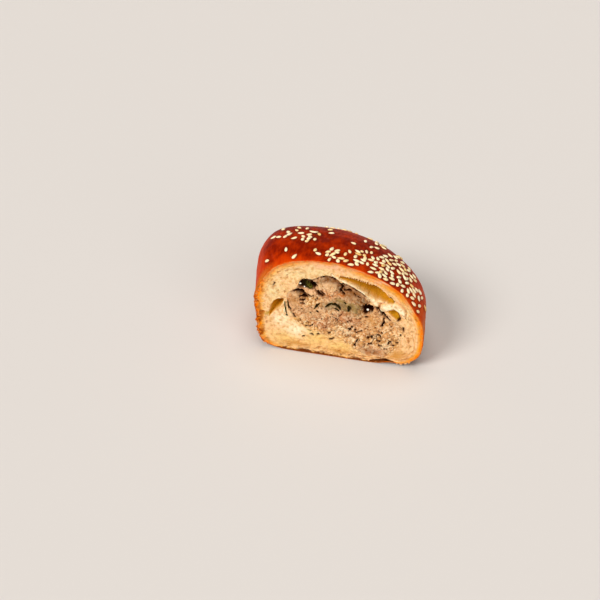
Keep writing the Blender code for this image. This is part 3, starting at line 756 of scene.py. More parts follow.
def wheatCrumb():
    # enriched wheat crumb, torn by the knife: matt, soft and slightly see-through, orange right under the
    # crust, cream inside; deeper gold in each pore and pocket is painted shade and painted bounced light
    material, tree, shader, place = newMaterial("wheatCrumb", {
        "Roughness": 0.75, "IOR": 1.4, "Specular IOR Level": 0.06, "Specular Tint": toLinear("#f4c898"),
        "Subsurface Weight": 0.2, "Subsurface Radius": (1.0, 0.55, 0.28),
        "Subsurface Scale": 1.8 * millimetre})
    inward = addNode(tree, "ShaderNodeAttribute", {"attribute_name": "inward"}).outputs["Fac"]
    # the browned band wavers every 3 mm
    waver = addNode(tree, "ShaderNodeTexNoise", {"Scale": 1 / (3 * millimetre), "Detail": 3.0},
                    {"Vector": place})
    wander = addNode(tree, "ShaderNodeMath", {"operation": "MULTIPLY_ADD", 1: 0.5},
                     {0: waver.outputs["Fac"], 2: inward})
    band = addNode(tree, "ShaderNodeMapRange", {"From Min": 0.2, "From Max": 1.4},
                   {"Value": wander.outputs[0]})
    ramp = addNode(tree, "ShaderNodeValToRGB", {"stops": [
        (0.0, "#cc4c00"), (0.2, "#ee7800"), (0.46, "#f6920e"), (0.68, "#f4b050"), (1.0, "#f8ca94")]},
        {"Fac": band.outputs[0]})
    colour = tintByLayers(tree, ramp.outputs["Color"], zoneTints(crumbZones))
    # 2 mm mottling
    blotch = addNode(tree, "ShaderNodeTexNoise", {"Scale": 1 / (2 * millimetre), "Detail": 5.0},
                     {"Vector": place})
    patch = addNode(tree, "ShaderNodeMapRange", {"From Min": 0.46, "From Max": 0.7, "To Max": 0.85},
                    {"Value": blotch.outputs["Fac"]})
    colour = addNode(tree, "ShaderNodeMix", {"data_type": "RGBA", 7: toLinear("#d29a58")},
                     {0: patch.outputs[0], 6: colour}).outputs[2]
    # pores, pockets and dark lines below carry painted shade, and the pockets' gold painted bounced light
    colour = tintByLayers(tree, colour, [
        ("streak", "#e6943a"), ("pore", "#ac621e"), ("ragged", "#8c3c08"), ("pocket", "#dc9c24"),
        ("pocketDepth", "#ca8e16"), ("split", "#7a3000"), ("split", "#2a0c00"), ("scorch", "#6a3210")])
    # 0.5 mm grain over 0.7 mm cells
    grit = addNode(tree, "ShaderNodeTexNoise", {"Scale": 1 / (0.5 * millimetre), "Detail": 4.0},
                   {"Vector": place})
    web = addNode(tree, "ShaderNodeTexVoronoi", {"Scale": 1 / (0.7 * millimetre)}, {"Vector": place})
    height = addNode(tree, "ShaderNodeMath", {"operation": "MULTIPLY_ADD", 1: 0.6},
                     {0: web.outputs["Distance"], 2: grit.outputs["Fac"]})
    bump = addNode(tree, "ShaderNodeBump", {"Strength": 0.8, "Distance": 0.35 * millimetre},
                   {"Height": height.outputs[0]})
    tree.links.new(colour, shader.inputs["Base Color"])
    tree.links.new(bump.outputs[0], shader.inputs["Normal"])
    return material


seeds = {
    # patches: angle round the section, distance back, spread of both, count
    "patches": ((118, 24.0, 6, 5.5, 17), (127, 8.2, 1, 0.4, 1), (121, 3.0, 1, 0.4, 1), (145, 6.3, 1, 0.4, 1),
                (95, 31.0, 3, 8.0, 2), (91, 7.5, 5, 2.4, 8), (75, 3.6, 2, 0.8, 2), (66, 17.5, 4, 3.5, 6),
                (56, 30.0, 4, 3.5, 4), (60, 10.0, 4, 2.5, 6), (42, 10.5, 7, 5.0, 34), (28, 18.0, 6, 5.5, 22),
                (17, 5.0, 4, 3.0, 8), (38, 38.0, 10, 4.0, 10), (85, 53.0, 24, 2.0, 10)),
    "length": 3.2, "width": 1.9, "thickness": 1.0, "narrowing": 0.5, "sunk": 0.28,
    "spacing": 2.7, "nearest": 1.9, "farthest": 56.0, "tries": 40, "random": 11,
    # more seeds lie between and upon these, closer together
    "morePatches": ((44, 8, 8, 4, 3), (31, 14, 6, 5, 1), (19, 9, 4, 4, 2), (107, 25, 3, 4, 4),
                    (64, 11, 4, 3, 3), (88, 7.5, 5, 2.5, 5)),
    "moreSpacing": 2.0, "moreLift": 0.45, "moreTilt": 0.3, "highest": 60.05,
    # each seed's length, width and thickness vary between these
    "leastSize": (0.94, 0.82, 0.85), "mostSize": (1.18, 1.04, 1.05), "arching": 0.12,
}


def seedFrames():
    # the same draws as the solid's: in each patch, a normal spread of places, none nearer than the spacing
    draw = random.Random(seeds["random"])
    taken, frames = [], []
    for patches, spacing, lift in ((seeds["patches"], seeds["spacing"], 0.0),
                                   (seeds["morePatches"], seeds["moreSpacing"], seeds["moreLift"])):
        for angle, y, angleSpread, ySpread, count in patches:
            for _ in range(count):
                for _ in range(seeds["tries"]):
                    turned = math.radians(draw.gauss(angle, angleSpread))
                    back = min(max(draw.gauss(y, ySpread), seeds["nearest"]), seeds["farthest"])
                    point = crustPoint(turned, back)
                    nearest = min([np.linalg.norm(point - other) for other in taken], default=farAway)
                    if nearest > spacing:
                        taken.append(point)
                        turn = draw.uniform(0, math.pi)
                        frames.append((turned, back, turn, lift * (nearest < seeds["spacing"])))
                        break
    return frames


def seedMatrix(angle, y, turn):
    # axes of a seed: along and across the crust, turned about the way out of it
    step = 0.01
    aroundRun = crustPoint(angle + step, y) - crustPoint(angle - step, y)
    backRun = crustPoint(angle, y + step) - crustPoint(angle, max(y - step, 0.0))
    up = Vector(np.cross(backRun, aroundRun)).normalized()
    along = up.orthogonal().normalized()
    facing = Matrix((along, up.cross(along), up)).transposed()
    return np.array(facing @ Matrix.Rotation(turn, 3, "Z"))


def buildSeeds(material, frames):
    # a ball drawn out to a flat drop: wide and round at one end, pointed at the other, each a little
    # different
    draw = np.random.default_rng(seeds["random"])
    shape, faceGroups = ballShape(10, 9)
    count = len(frames)
    angle, y, _, lift = (np.array(column) for column in zip(*frames))
    size = draw.uniform(seeds["leastSize"], seeds["mostSize"], (count, 1, 3))
    size = size * [seeds["length"], seeds["width"], seeds["thickness"]] / 2
    along, flat = shape[None, :, 0], shape[None, :, 2]
    narrowed = (1 - 0.5 * seeds["narrowing"] * along) * (1 - 0.35 * np.maximum(along, 0) ** 3)
    body = np.stack([along + 0 * narrowed, shape[None, :, 1] * narrowed,
                     np.sign(flat) * np.abs(flat) ** 0.8 * narrowed], axis=-1) * size
    body[..., 2] += draw.uniform(-seeds["arching"], seeds["arching"], (count, 1)) * along ** 2
    body = body + 0.05 * ownNoise(body, 7.0, 1.2, 71, 2)
    matrices = np.stack([seedMatrix(*frame[:3]) for frame in frames])
    # those that lie upon others are tipped
    tipped = np.sign(lift)[:, None] * draw.uniform(-1, 1, (count, 1)) * seeds["moreTilt"]
    body[..., 2] += tipped * body[..., 0]
    raised = seeds["thickness"] * (0.5 - seeds["sunk"]) + lift
    seat = crustSurface(angle, y) + matrices[:, :, 2] * raised[:, None]
    points = np.einsum("nij,nkj->nki", matrices, body) + seat[:, None]
    # none reaches past the cut or the pie's highest point
    points[..., 1] = np.maximum(points[..., 1], justInside)
    points[..., 2] -= np.maximum(points[..., 2].max(axis=1) - seeds["highest"], 0)[:, None]
    layers = {"tone": np.repeat(draw.uniform(0, 1, count), len(shape)),
              "tip": np.tile(shape[:, 0] * 0.5 + 0.5, count)}
    faceGroups = copies(count, shape, faceGroups)
    makePiece("sesameSeeds", points, faceGroups, [material], "pie_dough", layers)
    return seat


def hulledSesame():
    # hulled white sesame, lightly toasted: smooth, oily and pale cream, browner at the pointed end
    material, tree, shader, place = newMaterial("hulledSesame", {
        "Roughness": 0.42, "IOR": 1.47, "Specular IOR Level": 0.3, "Subsurface Weight": 0.15,
        "Subsurface Radius": (1.0, 0.7, 0.4), "Subsurface Scale": 0.8 * millimetre})
    tone = addNode(tree, "ShaderNodeAttribute", {"attribute_name": "tone"}).outputs["Fac"]
    tip = addNode(tree, "ShaderNodeAttribute", {"attribute_name": "tip"}).outputs["Fac"]
    ramp = addNode(tree, "ShaderNodeValToRGB", {"stops": [
        (0.0, "#fff0c8"), (0.6, "#ffe6b4"), (0.9, "#fcd898"), (1.0, "#e8ba70")]}, {"Fac": tone})
    toast = addNode(tree, "ShaderNodeMapRange", {"From Min": 0.65, "From Max": 1.0, "To Max": 0.4},
                    {"Value": tip})
    colour = addNode(tree, "ShaderNodeMix", {"data_type": "RGBA", 7: toLinear("#c98d45")},
                     {0: toast.outputs[0], 6: ramp.outputs["Color"]}).outputs[2]
    # 0.4 mm grain of the skin
    grain = addNode(tree, "ShaderNodeTexNoise", {"Scale": 1 / (0.4 * millimetre), "Detail": 2.0},
                    {"Vector": place})
    bump = addNode(tree, "ShaderNodeBump", {"Strength": 0.3, "Distance": 0.06 * millimetre},
                   {"Height": grain.outputs["Fac"]})
    tree.links.new(colour, shader.inputs["Base Color"])
    tree.links.new(bump.outputs[0], shader.inputs["Normal"])
    return material


meatZones = {
    # tints of the filling, and their soft patches (x, z, half width, half height)
    "tan": ("#cf9454", ((18.5, 25, 6.5, 6), (27, 25, 5, 3), (-12, 33, 4, 2.5))),
    "pink": ("#ba7a58", ((-9, 20, 8, 3), (6, 24, 8, 4), (11, 16, 5, 4.5), (-17, 25.5, 3, 2))),
    "fawn": ("#eab274", ((30, 17, 5, 7), (21, 14.5, 6, 3.5), (14, 13, 3.5, 3))),
    "mauve": ("#8c5228", ((19.5, 7, 7.5, 2.2), (14, 9.5, 3, 1.5))),
    "grey": ("#c08852", ((-21.3, 32, 4.2, 4.2),)),
    "ashen": ("#cba070", ((-13, 25.6, 4.5, 2.6),)),
    "onion": ("#8a6e44", ((3, 32.6, 7, 3.4), (-3, 31, 5, 2.2), (10, 32, 4.5, 3.6))),
    "red": ("#c8743a", ((-8, 38, 2.6, 1.6), (-3, 38, 3, 1.8), (3, 38.4, 3, 1.5))),
    "pale": ("#ebbd8c", ((-13.6, 36.9, 2.4, 2), (-3, 42.2, 4, 2.2), (-8, 41.8, 3, 2.2),
                         (-22, 27.3, 2.5, 1.2))),
    # brown and umber are painted shade: in the recess under the pale dough at the filling's top, and beside
    # cracks and the leaf
    "brown": ("#744010", ((8.5, 40.6, 6, 4), (13.5, 37, 4, 3.4), (3, 42.4, 2.5, 3))),
    "umber": ("#6c3c10", ((-3, 47, 6.5, 2.6), (-7.5, 37.4, 2.2, 1.2), (-18, 36, 1.6, 2.6))),
    # dough and meat mix along the lower left edge
    "doughy": ("#ecb670", ((-21, 20, 3.5, 2.5), (-16, 16.8, 3, 2), (-10, 14.6, 4, 2), (-3, 14, 4, 2),
                           (3, 13, 3, 2.2), (8, 9.5, 2, 2.5), (11, 6.5, 2, 1.5), (32.5, 12, 2.5, 4),
                           (34.5, 20, 1.5, 5), (29, 7, 2.5, 2))),
}
texture = {
    # where the cut meat is smooth, and where it crumbles (x, z, half width, half height)
    "smooth": ((-21.3, 32, 4.2, 4), (8, 40.4, 8, 4), (4, 33, 8, 3.2), (19, 6.6, 7.5, 1.8),
               (17.5, 26, 3, 2.5), (-3, 46, 4.5, 4), (-13.6, 37.3, 2.2, 2), (-13, 25.8, 4.5, 2.4)),
    "crumbly": ((11, 14, 7, 6), (21, 14.5, 8, 5), (28, 16, 5, 6), (3, 19, 6, 4), (-13, 21, 7, 3),
                (-12, 32, 4, 3)),
    "plane": 3.1,  # where the cut slices the noises
    "warpSize": 3.4, "warpSeeds": (81, 82, 83),
    "lump": (4.6, 84), "grain": (1.9, 87), "bead": (0.9, 91),  # size and seed
    "shiver": (1.0, 97, 2),
    "calmFrom": 0.8, "calmOver": 0.2, "calmLoss": 0.6,  # the relief grows lower over the outer fifth
}


def calmEdge(reach):
    # 0 over most of the filling, and a straight rise to 1 at its outline
    return np.clip((reach - texture["calmFrom"]) / texture["calmOver"], 0, 1)


def fillingDepth(x, z, edge):
    # the meat's face behind the cut: lumps, grains and beads of mince as cell noises, with the seams
    # between lumps, the hollows (bells) and the cracks (narrow bells along lines) let in
    face = facePoints(x, z, texture["plane"])
    warp = [layeredNoise(face, texture["warpSize"], seed, 3) for seed in texture["warpSeeds"]]
    warp = np.stack(warp, axis=-1)
    warpX, warpY, warpZ = (warp[..., axis] for axis in range(3))
    rough = 0.5 + 0.5 * spots(x + warpX, z + warpY, texture["crumbly"])
    rough = rough * (1 - 0.75 * spots(x + warpX, z + warpY, texture["smooth"]))
    lump, lumpNext, lumpOwn = cellNoise(face + 1.1 * warp, *texture["lump"])
    grain, _, grainOwn = cellNoise(face + 0.6 * warp, *texture["grain"])
    bead, _, beadOwn = cellNoise(face + 0.3 * warp, *texture["bead"])
    seam = np.exp(-((lumpNext - lump) / 0.1) ** 2) * smoothStep(0.3, 0.7, lumpOwn) * rough
    pit = np.where(beadOwn < 0.08, np.maximum(1 - (bead / 0.6) ** 2, 0), 0) * rough
    gap = np.where(grainOwn < 0.17, np.maximum(1 - (grain / 0.58) ** 2, 0), 0) * smoothStep(0.25, 0.8, rough)
    depth = filling["setback"] + (0.4 + 0.6 * rough) * (lump - 0.5)
    depth = depth + rough * (1.2 * (grain - 0.5) + 0.4 * (bead - 0.5))
    depth = (depth + 0.7 * seam + 1.3 * pit + 1.5 * gap + 0.3 * warpX) * (1 - texture["calmLoss"] * edge)
    for hollowX, hollowZ, radius, deepest in filling["hollows"]:
        away = np.hypot(x - hollowX + 0.3 * warpX, z - hollowZ + 0.3 * warpY) / radius
        depth = depth + deepest * np.exp(-away ** 2)
    shiver = 0.3 * layeredNoise(face, *texture["shiver"])
    crack = nearestLine(x + 0.4 * warpX + shiver, z + 0.4 * warpY - shiver, filling["cracks"])
    split = np.exp(-(crack / filling["crackWidth"]) ** 2)
    depth = np.maximum(depth + filling["crackDepth"] * split, filling["shallowest"])
    masks = zoneMasks(meatZones, x + warpX, z + warpZ)
    masks["grain"] = np.where(beadOwn > 0.6, beadOwn, grainOwn)
    masks["lump"] = lumpOwn
    masks["rough"] = rough
    # seams, pits, gaps, cracks and hollows deeper than 2.4 mm are painted dark: painted shade
    sunken = 0.25 * np.maximum(depth - 2.4, 0)
    masks["dark"] = np.clip(0.5 * seam + pit + gap + 1.2 * split + sunken, 0, 1)
    return depth, masks


def buildFilling(material):
    # front: a square grid squeezed onto the outline's disc; back: rings from its border to a point
    steps = filling["gridSteps"]
    side = np.linspace(-1, 1, steps)
    across, up = np.meshgrid(side, side, indexing="ij")
    discX, discZ = across * np.sqrt(1 - up ** 2 / 2), up * np.sqrt(1 - across ** 2 / 2)
    reach, angle = np.hypot(discX, discZ), np.arctan2(discZ, discX)
    radius = (outlineRadius(angle) + filling["overlap"]) * reach
    x, z = filling["centreX"] + radius * np.cos(angle), filling["centreZ"] + radius * np.sin(angle)
    depth, masks = fillingDepth(x, z, calmEdge(reach))
    face = np.stack([x, depth, z], axis=-1)
    numbers = np.arange(steps * steps).reshape(steps, steps)
    border = np.concatenate([numbers[:-1, 0], numbers[-1, :-1], numbers[:0:-1, -1], numbers[0, :0:-1]])
    turn = np.linspace(0, math.pi / 2, filling["backRings"] + 1)[1:-1, None]
    backY = np.maximum(filling["length"] * np.sin(turn), depth.ravel()[border] + 0.5)
    back = cavityPoint(angle.ravel()[border][None], backY, filling["overlap"])
    deepest = filling["length"] + filling["overlap"]
    deepEnd = cavityPoint(np.zeros(1), np.full(1, deepest), filling["overlap"])
    points = np.concatenate([face.reshape(-1, 3), back.reshape(-1, 3), deepEnd])
    backNumbers = steps * steps + np.arange(back.shape[0] * len(border)).reshape(back.shape[0], -1)
    rings = np.concatenate([border[None], backNumbers])
    beside = np.roll(rings, -1, 1)
    quads = np.stack([rings[:-1], beside[:-1], beside[1:], rings[1:]], -1).reshape(-1, 4)
    front = gridFaces(steps, steps, closed=False)[:, ::-1]
    behind = np.zeros(back.size // 3 + 1)
    layers = {name: np.concatenate([values.ravel(), behind]) for name, values in masks.items()}
    faceGroups = [front, quads, fanFaces(rings[-1], len(points) - 1)]
    makePiece("meatFilling", points, faceGroups, [material], "meat_filling", layers)


mince = {
    "tried": 3800, "outermost": 0.985, "darkest": 0.6, "deepest": 3.0,
    "smallest": 0.6, "largest": 2.3, "sunk": 0.4, "squash": (0.45, 1.5), "rough": 0.5, "random": 5,
    # the grains take on part of the face's painted shade
    "shadow": 0.3,  # share of the face's darkness that the grains take on
}


def buildMince(material):
    # loose grains of mince on the face: small balls, each squashed, turned and roughened its own way
    draw = np.random.default_rng(mince["random"])
    tried = mince["tried"]
    angle = draw.uniform(-math.pi, math.pi, tried)
    reach = np.sqrt(draw.uniform(0, 1, tried)) * mince["outermost"]
    radius = outlineRadius(angle) * reach
    x, z = filling["centreX"] + radius * np.cos(angle), filling["centreZ"] + radius * np.sin(angle)
    depth, masks = fillingDepth(x, z, calmEdge(reach))
    keep = (masks["dark"] < mince["darkest"]) & (depth < mince["deepest"])
    keep = keep & (draw.uniform(0, 1, tried) < masks["rough"] * 1.1 - 0.12)
    x, z, depth = x[keep], z[keep], depth[keep]
    masks = {name: values[keep] for name, values in masks.items()}
    count = len(x)
    spread = mince["largest"] - mince["smallest"]
    size = mince["smallest"] + spread * draw.uniform(0, 1, (count, 1, 1)) ** 2.5
    size = size * draw.uniform(*mince["squash"], (count, 1, 3)) / 2
    shape, faceGroups = ballShape(7, 5)
    body = shape[None] * size
    body = body * (1 + mince["rough"] * ownNoise(body * 1.4, 5.0, 1.0, 95, 2))
    body = np.einsum("nij,nkj->nki", turnMatrices(draw, count), body)
    reachOut = size.mean(axis=(1, 2))
    seat = np.maximum(depth + mince["sunk"] * reachOut, reachOut * 0.9 + justInside)
    points = body + np.stack([x, seat, z], axis=-1)[:, None]
    points[..., 1] = np.maximum(points[..., 1], justInside)
    masks["grain"] = draw.uniform(0, 1, count)
    layers = {name: np.repeat(values, len(shape)) for name, values in masks.items()}
    layers["dark"] = layers["dark"] * mince["shadow"]
    faceGroups = copies(count, shape, faceGroups)
    makePiece("minceGrains", points, faceGroups, [material], None, layers)


def cookedMince():
    # steamed minced meat with its juice: moist, softly glossy, slightly see-through; grey-pink to tan
    # from lump to lump, greenish where onion and herb have coloured it, and painted near black as shade down
    # in the cracks
    material, tree, shader, place = newMaterial("cookedMince", {
        "Roughness": 0.45, "IOR": 1.4, "Specular IOR Level": 0.05, "Specular Tint": toLinear("#f0b890"),
        "Subsurface Weight": 0.12, "Subsurface Radius": (1.0, 0.5, 0.35),
        "Subsurface Scale": 1 * millimetre})
    lump = addNode(tree, "ShaderNodeAttribute", {"attribute_name": "lump"}).outputs["Fac"]
    ramp = addNode(tree, "ShaderNodeValToRGB", {"stops": [
        (0.0, "#c98a5c"), (0.35, "#dba778"), (0.65, "#cf9670"), (1.0, "#e3b585")]}, {"Fac": lump})
    colour = tintByLayers(tree, ramp.outputs["Color"], zoneTints(meatZones))
    # single grains run from brown lean to cream fat, with 1.2 mm fibres in them, and more of that shows
    # where the meat crumbles
    grain = addNode(tree, "ShaderNodeAttribute", {"attribute_name": "grain"}).outputs["Fac"]
    fibre = addNode(tree, "ShaderNodeTexNoise", {"Scale": 1 / (1.2 * millimetre), "Detail": 5.0},
                    {"Vector": place})
    mixed = addNode(tree, "ShaderNodeMath", {"operation": "MULTIPLY_ADD", 1: 0.6},
                    {0: grain, 2: fibre.outputs["Fac"]})
    tone = addNode(tree, "ShaderNodeValToRGB", {"stops": [
        (0.4, "#6c3a14"), (0.6, "#be803e"), (0.82, "#e6b276"), (1.0, "#ffe8bc")]},
        {"Fac": mixed.outputs[0]})
    rough = addNode(tree, "ShaderNodeAttribute", {"attribute_name": "rough"})
    share = addNode(tree, "ShaderNodeMath", {"operation": "MULTIPLY", 1: 0.7}, {0: rough.outputs["Fac"]})
    colour = addNode(tree, "ShaderNodeMix", {"data_type": "RGBA"},
                     {0: share.outputs[0], 6: colour, 7: tone.outputs["Color"]}).outputs[2]
    # painted shade in the seams, pits, gaps, cracks and deep hollows: brown, then near black
    colour = tintByLayers(tree, colour, [("dark", "#7a3204"), ("dark", "#240a00")])  # brown, then near black
    # 0.5 mm grain
    fine = addNode(tree, "ShaderNodeTexNoise", {"Scale": 1 / (0.5 * millimetre), "Detail": 4.0},
                   {"Vector": place})
    bump = addNode(tree, "ShaderNodeBump", {"Strength": 0.7, "Distance": 0.3 * millimetre},
                   {"Height": fine.outputs["Fac"]})
    tree.links.new(colour, shader.inputs["Base Color"])
    tree.links.new(bump.outputs[0], shader.inputs["Normal"])
    return material


leaf = {
    "x": -14.4, "z": 43.4, "back": 0.7,
    "length": 6.4, "width": 4.4, "thickness": 0.6, "narrowing": 0.75,
    "wave": 0.5, "waves": (3.4, 1.1),  # height, and how fast it runs along and across
    "turn": 32.0, "rows": 70, "columns": 64, "vein": 0.35,
}


def buildLeaf(material):
    # a flat closed tube along the leaf: half width 1 - 0.75 of the square of the way along, rounded off
    # at both tips; a sine waves it, and fine ridges stand on it for the midrib and its slanting veins
    rows, columns = leaf["rows"], leaf["columns"]
    way = np.linspace(-1, 1, rows + 2)[1:-1, None]
    turn = np.linspace(0, math.tau, columns, endpoint=False)[None, :]
    tips = np.sqrt(1 - way ** 8)
    across = np.cos(turn) * tips * (1 + 0.09 * np.sin(way * 9 + 1) + 0.05 * np.sin(way * 23))
    slanted = np.mod(way * 2.6 + np.abs(across) * 1.3 + 0.25 * np.sin(across * 3), 1)
    slanted = np.abs(slanted - 0.5) / 0.08
    vein = np.maximum(np.exp(-(across / 0.06) ** 2), 0.5 * np.exp(-slanted ** 2)) * tips
    thick = np.sign(np.sin(turn)) * np.abs(np.sin(turn)) ** 0.35 * tips * leaf["thickness"] / 2
    thick = thick * (1 - leaf["vein"] + leaf["vein"] * vein)
    first, second = leaf["waves"]
    out = leaf["wave"] * np.sin(first * way + second * across) + thick
    along = way * leaf["length"] / 2
    across = across * (1 - leaf["narrowing"] * way ** 2) * leaf["width"] / 2
    cosine, sine = math.cos(math.radians(leaf["turn"])), math.sin(math.radians(leaf["turn"]))
    grid = np.stack([leaf["x"] + along * cosine + across * sine, leaf["back"] - out,
                     leaf["z"] - along * sine + across * cosine], axis=-1)
    count = rows * columns
    points = np.concatenate([grid.reshape(-1, 3), [grid[0].mean(axis=0), grid[-1].mean(axis=0)]])
    ring = np.arange(columns)
    faceGroups = [gridFaces(rows, columns), fanFaces(ring[::-1], count),
                  fanFaces(ring + count - columns, count + 1)]
    # one end and one side are painted dark: painted shadow
    dark = np.linspace(-1, 1, rows)[:, None] + 0.6 * across / leaf["width"]
    dark = smoothStep(0.3, -0.5, dark) + 0 * vein
    layers = {"vein": np.append(vein.ravel(), [0, 0]), "dark": np.append(dark.ravel(), [0, 0])}
    makePiece("herbLeaf", points, faceGroups, [material], "herb_leaf", layers)


herbs = {
    # cut edges and shreds of leaf: points (x, z, half width) of each
    "shreds": (((-8.2, 32.4, 0.4), (-9.4, 30.8, 0.7), (-11.0, 28.4, 0.35)),
               ((-9.8, 27.9, 0.5), (-8.4, 27.3, 0.45)),
               ((-5.4, 30.4, 0.3), (-3.8, 31.8, 0.7), (-2.2, 33.2, 0.5), (-1.0, 33.5, 0.3)),
               ((-1.8, 32.6, 0.3), (0.0, 33.0, 1.0), (1.6, 31.2, 0.9), (2.6, 29.8, 0.4)),
               ((-0.6, 30.2, 0.3), (0.8, 29.8, 0.5), (2.2, 29.2, 0.3)), ((4.4, 35.4, 0.3), (5.8, 34.6, 0.5)),
               ((6.6, 34.0, 0.4), (7.2, 32.2, 0.8), (6.6, 29.0, 0.35)),
               ((-26.3, 31.0, 0.25), (-26.0, 27.4, 0.35), (-25.2, 23.0, 0.3)),
               ((-24.7, 31.2, 0.2), (-24.3, 27.4, 0.35), (-23.0, 25.2, 0.45), (-21.2, 26.0, 0.2)),
               ((-25.8, 22.6, 0.3), (-24.6, 22.3, 0.5)),
               ((-17.8, 27.4, 0.3), (-16.6, 27.7, 0.3)), ((-1.6, 27.4, 0.4), (-0.8, 27.2, 0.3)),
               ((10.4, 32.0, 0.2), (11.2, 30.6, 0.3)), ((-13.2, 25.6, 0.2), (-12.4, 26.2, 0.25))),
    "thickness": 0.55, "around": 8, "raised": 0.35,
    "doughTo": -24.5,  # those left of this lie on the dough
    "darkness": 0.6,
}


def buildShreds(material):
    # a flattened tube along each line, standing a little out of the meat's face
    points, faceGroups, count = [], [], 0
    turn = np.linspace(0, math.tau, herbs["around"], endpoint=False)
    for line in herbs["shreds"]:
        path = smoothLine(line, 6)
        run = np.gradient(path[:, :2], axis=0)
        run = run / np.linalg.norm(run, axis=1)[:, None]
        depth = fillingDepth(path[:, 0], path[:, 1], np.zeros(len(path)))[0]
        depth = np.convolve(np.pad(depth, 2, mode="edge"), np.ones(5) / 5, mode="valid")  # evened out
        depth = np.where(path[:, 0] < herbs["doughTo"], dough["setback"] + 0.2, depth)
        half = path[:, 2:] * np.sqrt(np.sin(np.linspace(0.12, math.pi - 0.12, len(path))))[:, None]
        x = path[:, :1] - run[:, 1:] * half * np.cos(turn)
        z = path[:, 1:2] + run[:, :1] * half * np.cos(turn)
        y = depth[:, None] - herbs["raised"] + np.minimum(half, herbs["thickness"]) * np.sin(turn) * 0.8
        grid = np.stack([x, np.maximum(y, 0.04), z], axis=-1)
        rows, columns = grid.shape[:2]
        ring = np.arange(columns)
        points += [grid.reshape(-1, 3), grid[[0, -1]].mean(axis=1)]
        last = count + rows * columns
        faceGroups += [gridFaces(rows, columns) + count, fanFaces(ring[::-1] + count, last),
                       fanFaces(ring + last - columns, last + 1)]
        count = last + 2
    points = np.concatenate(points)
    layers = {"vein": np.zeros(len(points)), "dark": np.full(len(points), herbs["darkness"])}
    makePiece("herbShreds", points, faceGroups, [material], None, layers)


def stewedHerb():
    # a leaf of green herb baked in the filling: dull dark olive, soft sheen, paler along its veins
    material, tree, shader, place = newMaterial("stewedHerb", {
        "Roughness": 0.5, "Specular IOR Level": 0.1, "Specular Tint": toLinear("#d8c070"),
        "Subsurface Weight": 0.1, "Subsurface Radius": (0.5, 1.0, 0.3),
        "Subsurface Scale": 0.5 * millimetre})
    # 1.5 mm blotches
    blotch = addNode(tree, "ShaderNodeTexNoise", {"Scale": 1 / (1.5 * millimetre), "Detail": 4.0},
                     {"Vector": place})
    ramp = addNode(tree, "ShaderNodeValToRGB", {"stops": [
        (0.38, "#160d02"), (0.52, "#3c3108"), (0.7, "#646016")]}, {"Fac": blotch.outputs["Fac"]})
    # painted shadow on one end and one side of the leaf; the shreds are darkened evenly by the same tint
    colour = tintByLayers(tree, ramp.outputs["Color"], [("vein", "#76702a"), ("dark", "#150b01")])
    bump = addNode(tree, "ShaderNodeBump", {"Strength": 0.5, "Distance": 0.2 * millimetre},
                   {"Height": blotch.outputs["Fac"]})
    tree.links.new(colour, shader.inputs["Base Color"])
    tree.links.new(bump.outputs[0], shader.inputs["Normal"])
    return material


onion = {
    # middle (x, z), half length, half width and turn of each piece, and their half thickness
    "pieces": ((2.8, 35.7, 3.0, 1.0, -14), (6.0, 33.4, 2.0, 1.2, 35), (9.8, 32.4, 3.3, 1.3, -62),
               (11.8, 33.6, 1.6, 0.9, -50), (4.6, 30.6, 1.8, 0.9, -30)),
    "thick": 0.26, "bend": 0.3, "sunk": 0.16, "deepest": 1.6, "random": 17,
    "jagged": (0.22, 0.22, 0.1),  # roughness along, across and through
}


def buildOnion(material):
    # flattened balls, bent along their length by its square, laid on the meat at their own tilt
    draw = np.random.default_rng(onion["random"])
    shape, faceGroups = ballShape(36, 18)
    x, z, half, width, turn = np.array(onion["pieces"]).T
    count = len(x)
    body = shape[None] * np.stack([half, width, np.full(count, onion["thick"])], axis=-1)[:, None]
    body = body * (1 + onion["jagged"] * ownNoise(body * [1, 1, 0], 9.0, 1.6, 19, 3))
    tilt = draw.uniform(-0.2, 0.2, (count, 1))
    body[..., 2] += onion["bend"] * (shape[None, :, 0] ** 2 - 0.4) + tilt * body[..., 1]
    cosine, sine = np.cos(np.radians(turn))[:, None], np.sin(np.radians(turn))[:, None]
    depth = fillingDepth(x, z, np.zeros(count))[0]
    y = np.maximum(np.minimum(depth, onion["deepest"])[:, None] - onion["sunk"] + body[..., 2], 0.04)
    points = np.stack([x[:, None] + body[..., 0] * cosine - body[..., 1] * sine, y,
                       z[:, None] + body[..., 0] * sine + body[..., 1] * cosine], axis=-1)
    makePiece("onionPieces", points, copies(count, shape, faceGroups), [material])


def softOnion():
    # onion cooked until glassy, greened by the herb: wet, half see-through, grey-green to straw
    material, tree, shader, place = newMaterial("softOnion", {
        "Roughness": 0.4, "IOR": 1.36, "Specular IOR Level": 0.25, "Transmission Weight": 0.2,
        "Subsurface Weight": 0.3, "Subsurface Radius": (1.0, 0.9, 0.6),
        "Subsurface Scale": 2 * millimetre})
    # 2 mm streaks
    streak = addNode(tree, "ShaderNodeTexNoise", {"Scale": 1 / (2 * millimetre), "Detail": 4.0},
                     {"Vector": place})
    ramp = addNode(tree, "ShaderNodeValToRGB", {"stops": [
        (0.35, "#84663a"), (0.5, "#a8864e"), (0.7, "#c8a66c")]}, {"Fac": streak.outputs["Fac"]})
    bump = addNode(tree, "ShaderNodeBump", {"Strength": 0.4, "Distance": 0.2 * millimetre},
                   {"Height": streak.outputs["Fac"]})
    tree.links.new(ramp.outputs["Color"], shader.inputs["Base Color"])
    tree.links.new(bump.outputs[0], shader.inputs["Normal"])
    return material


fatAndGlints = {
    # white bits in the dark hole and by the leaf: middle (x, depth, z) and size of each; the one in the hole
    # is fat, the two by the leaf are painted highlights standing in for glints
    "bits": ((16.9, 0.5, 33.2, 1.2), (-18.1, 0.35, 43.4, 0.9), (-15.9, 0.35, 41.8, 0.8)),
    "squash": (0.7, 1.1), "rough": 0.4, "random": 41,
}


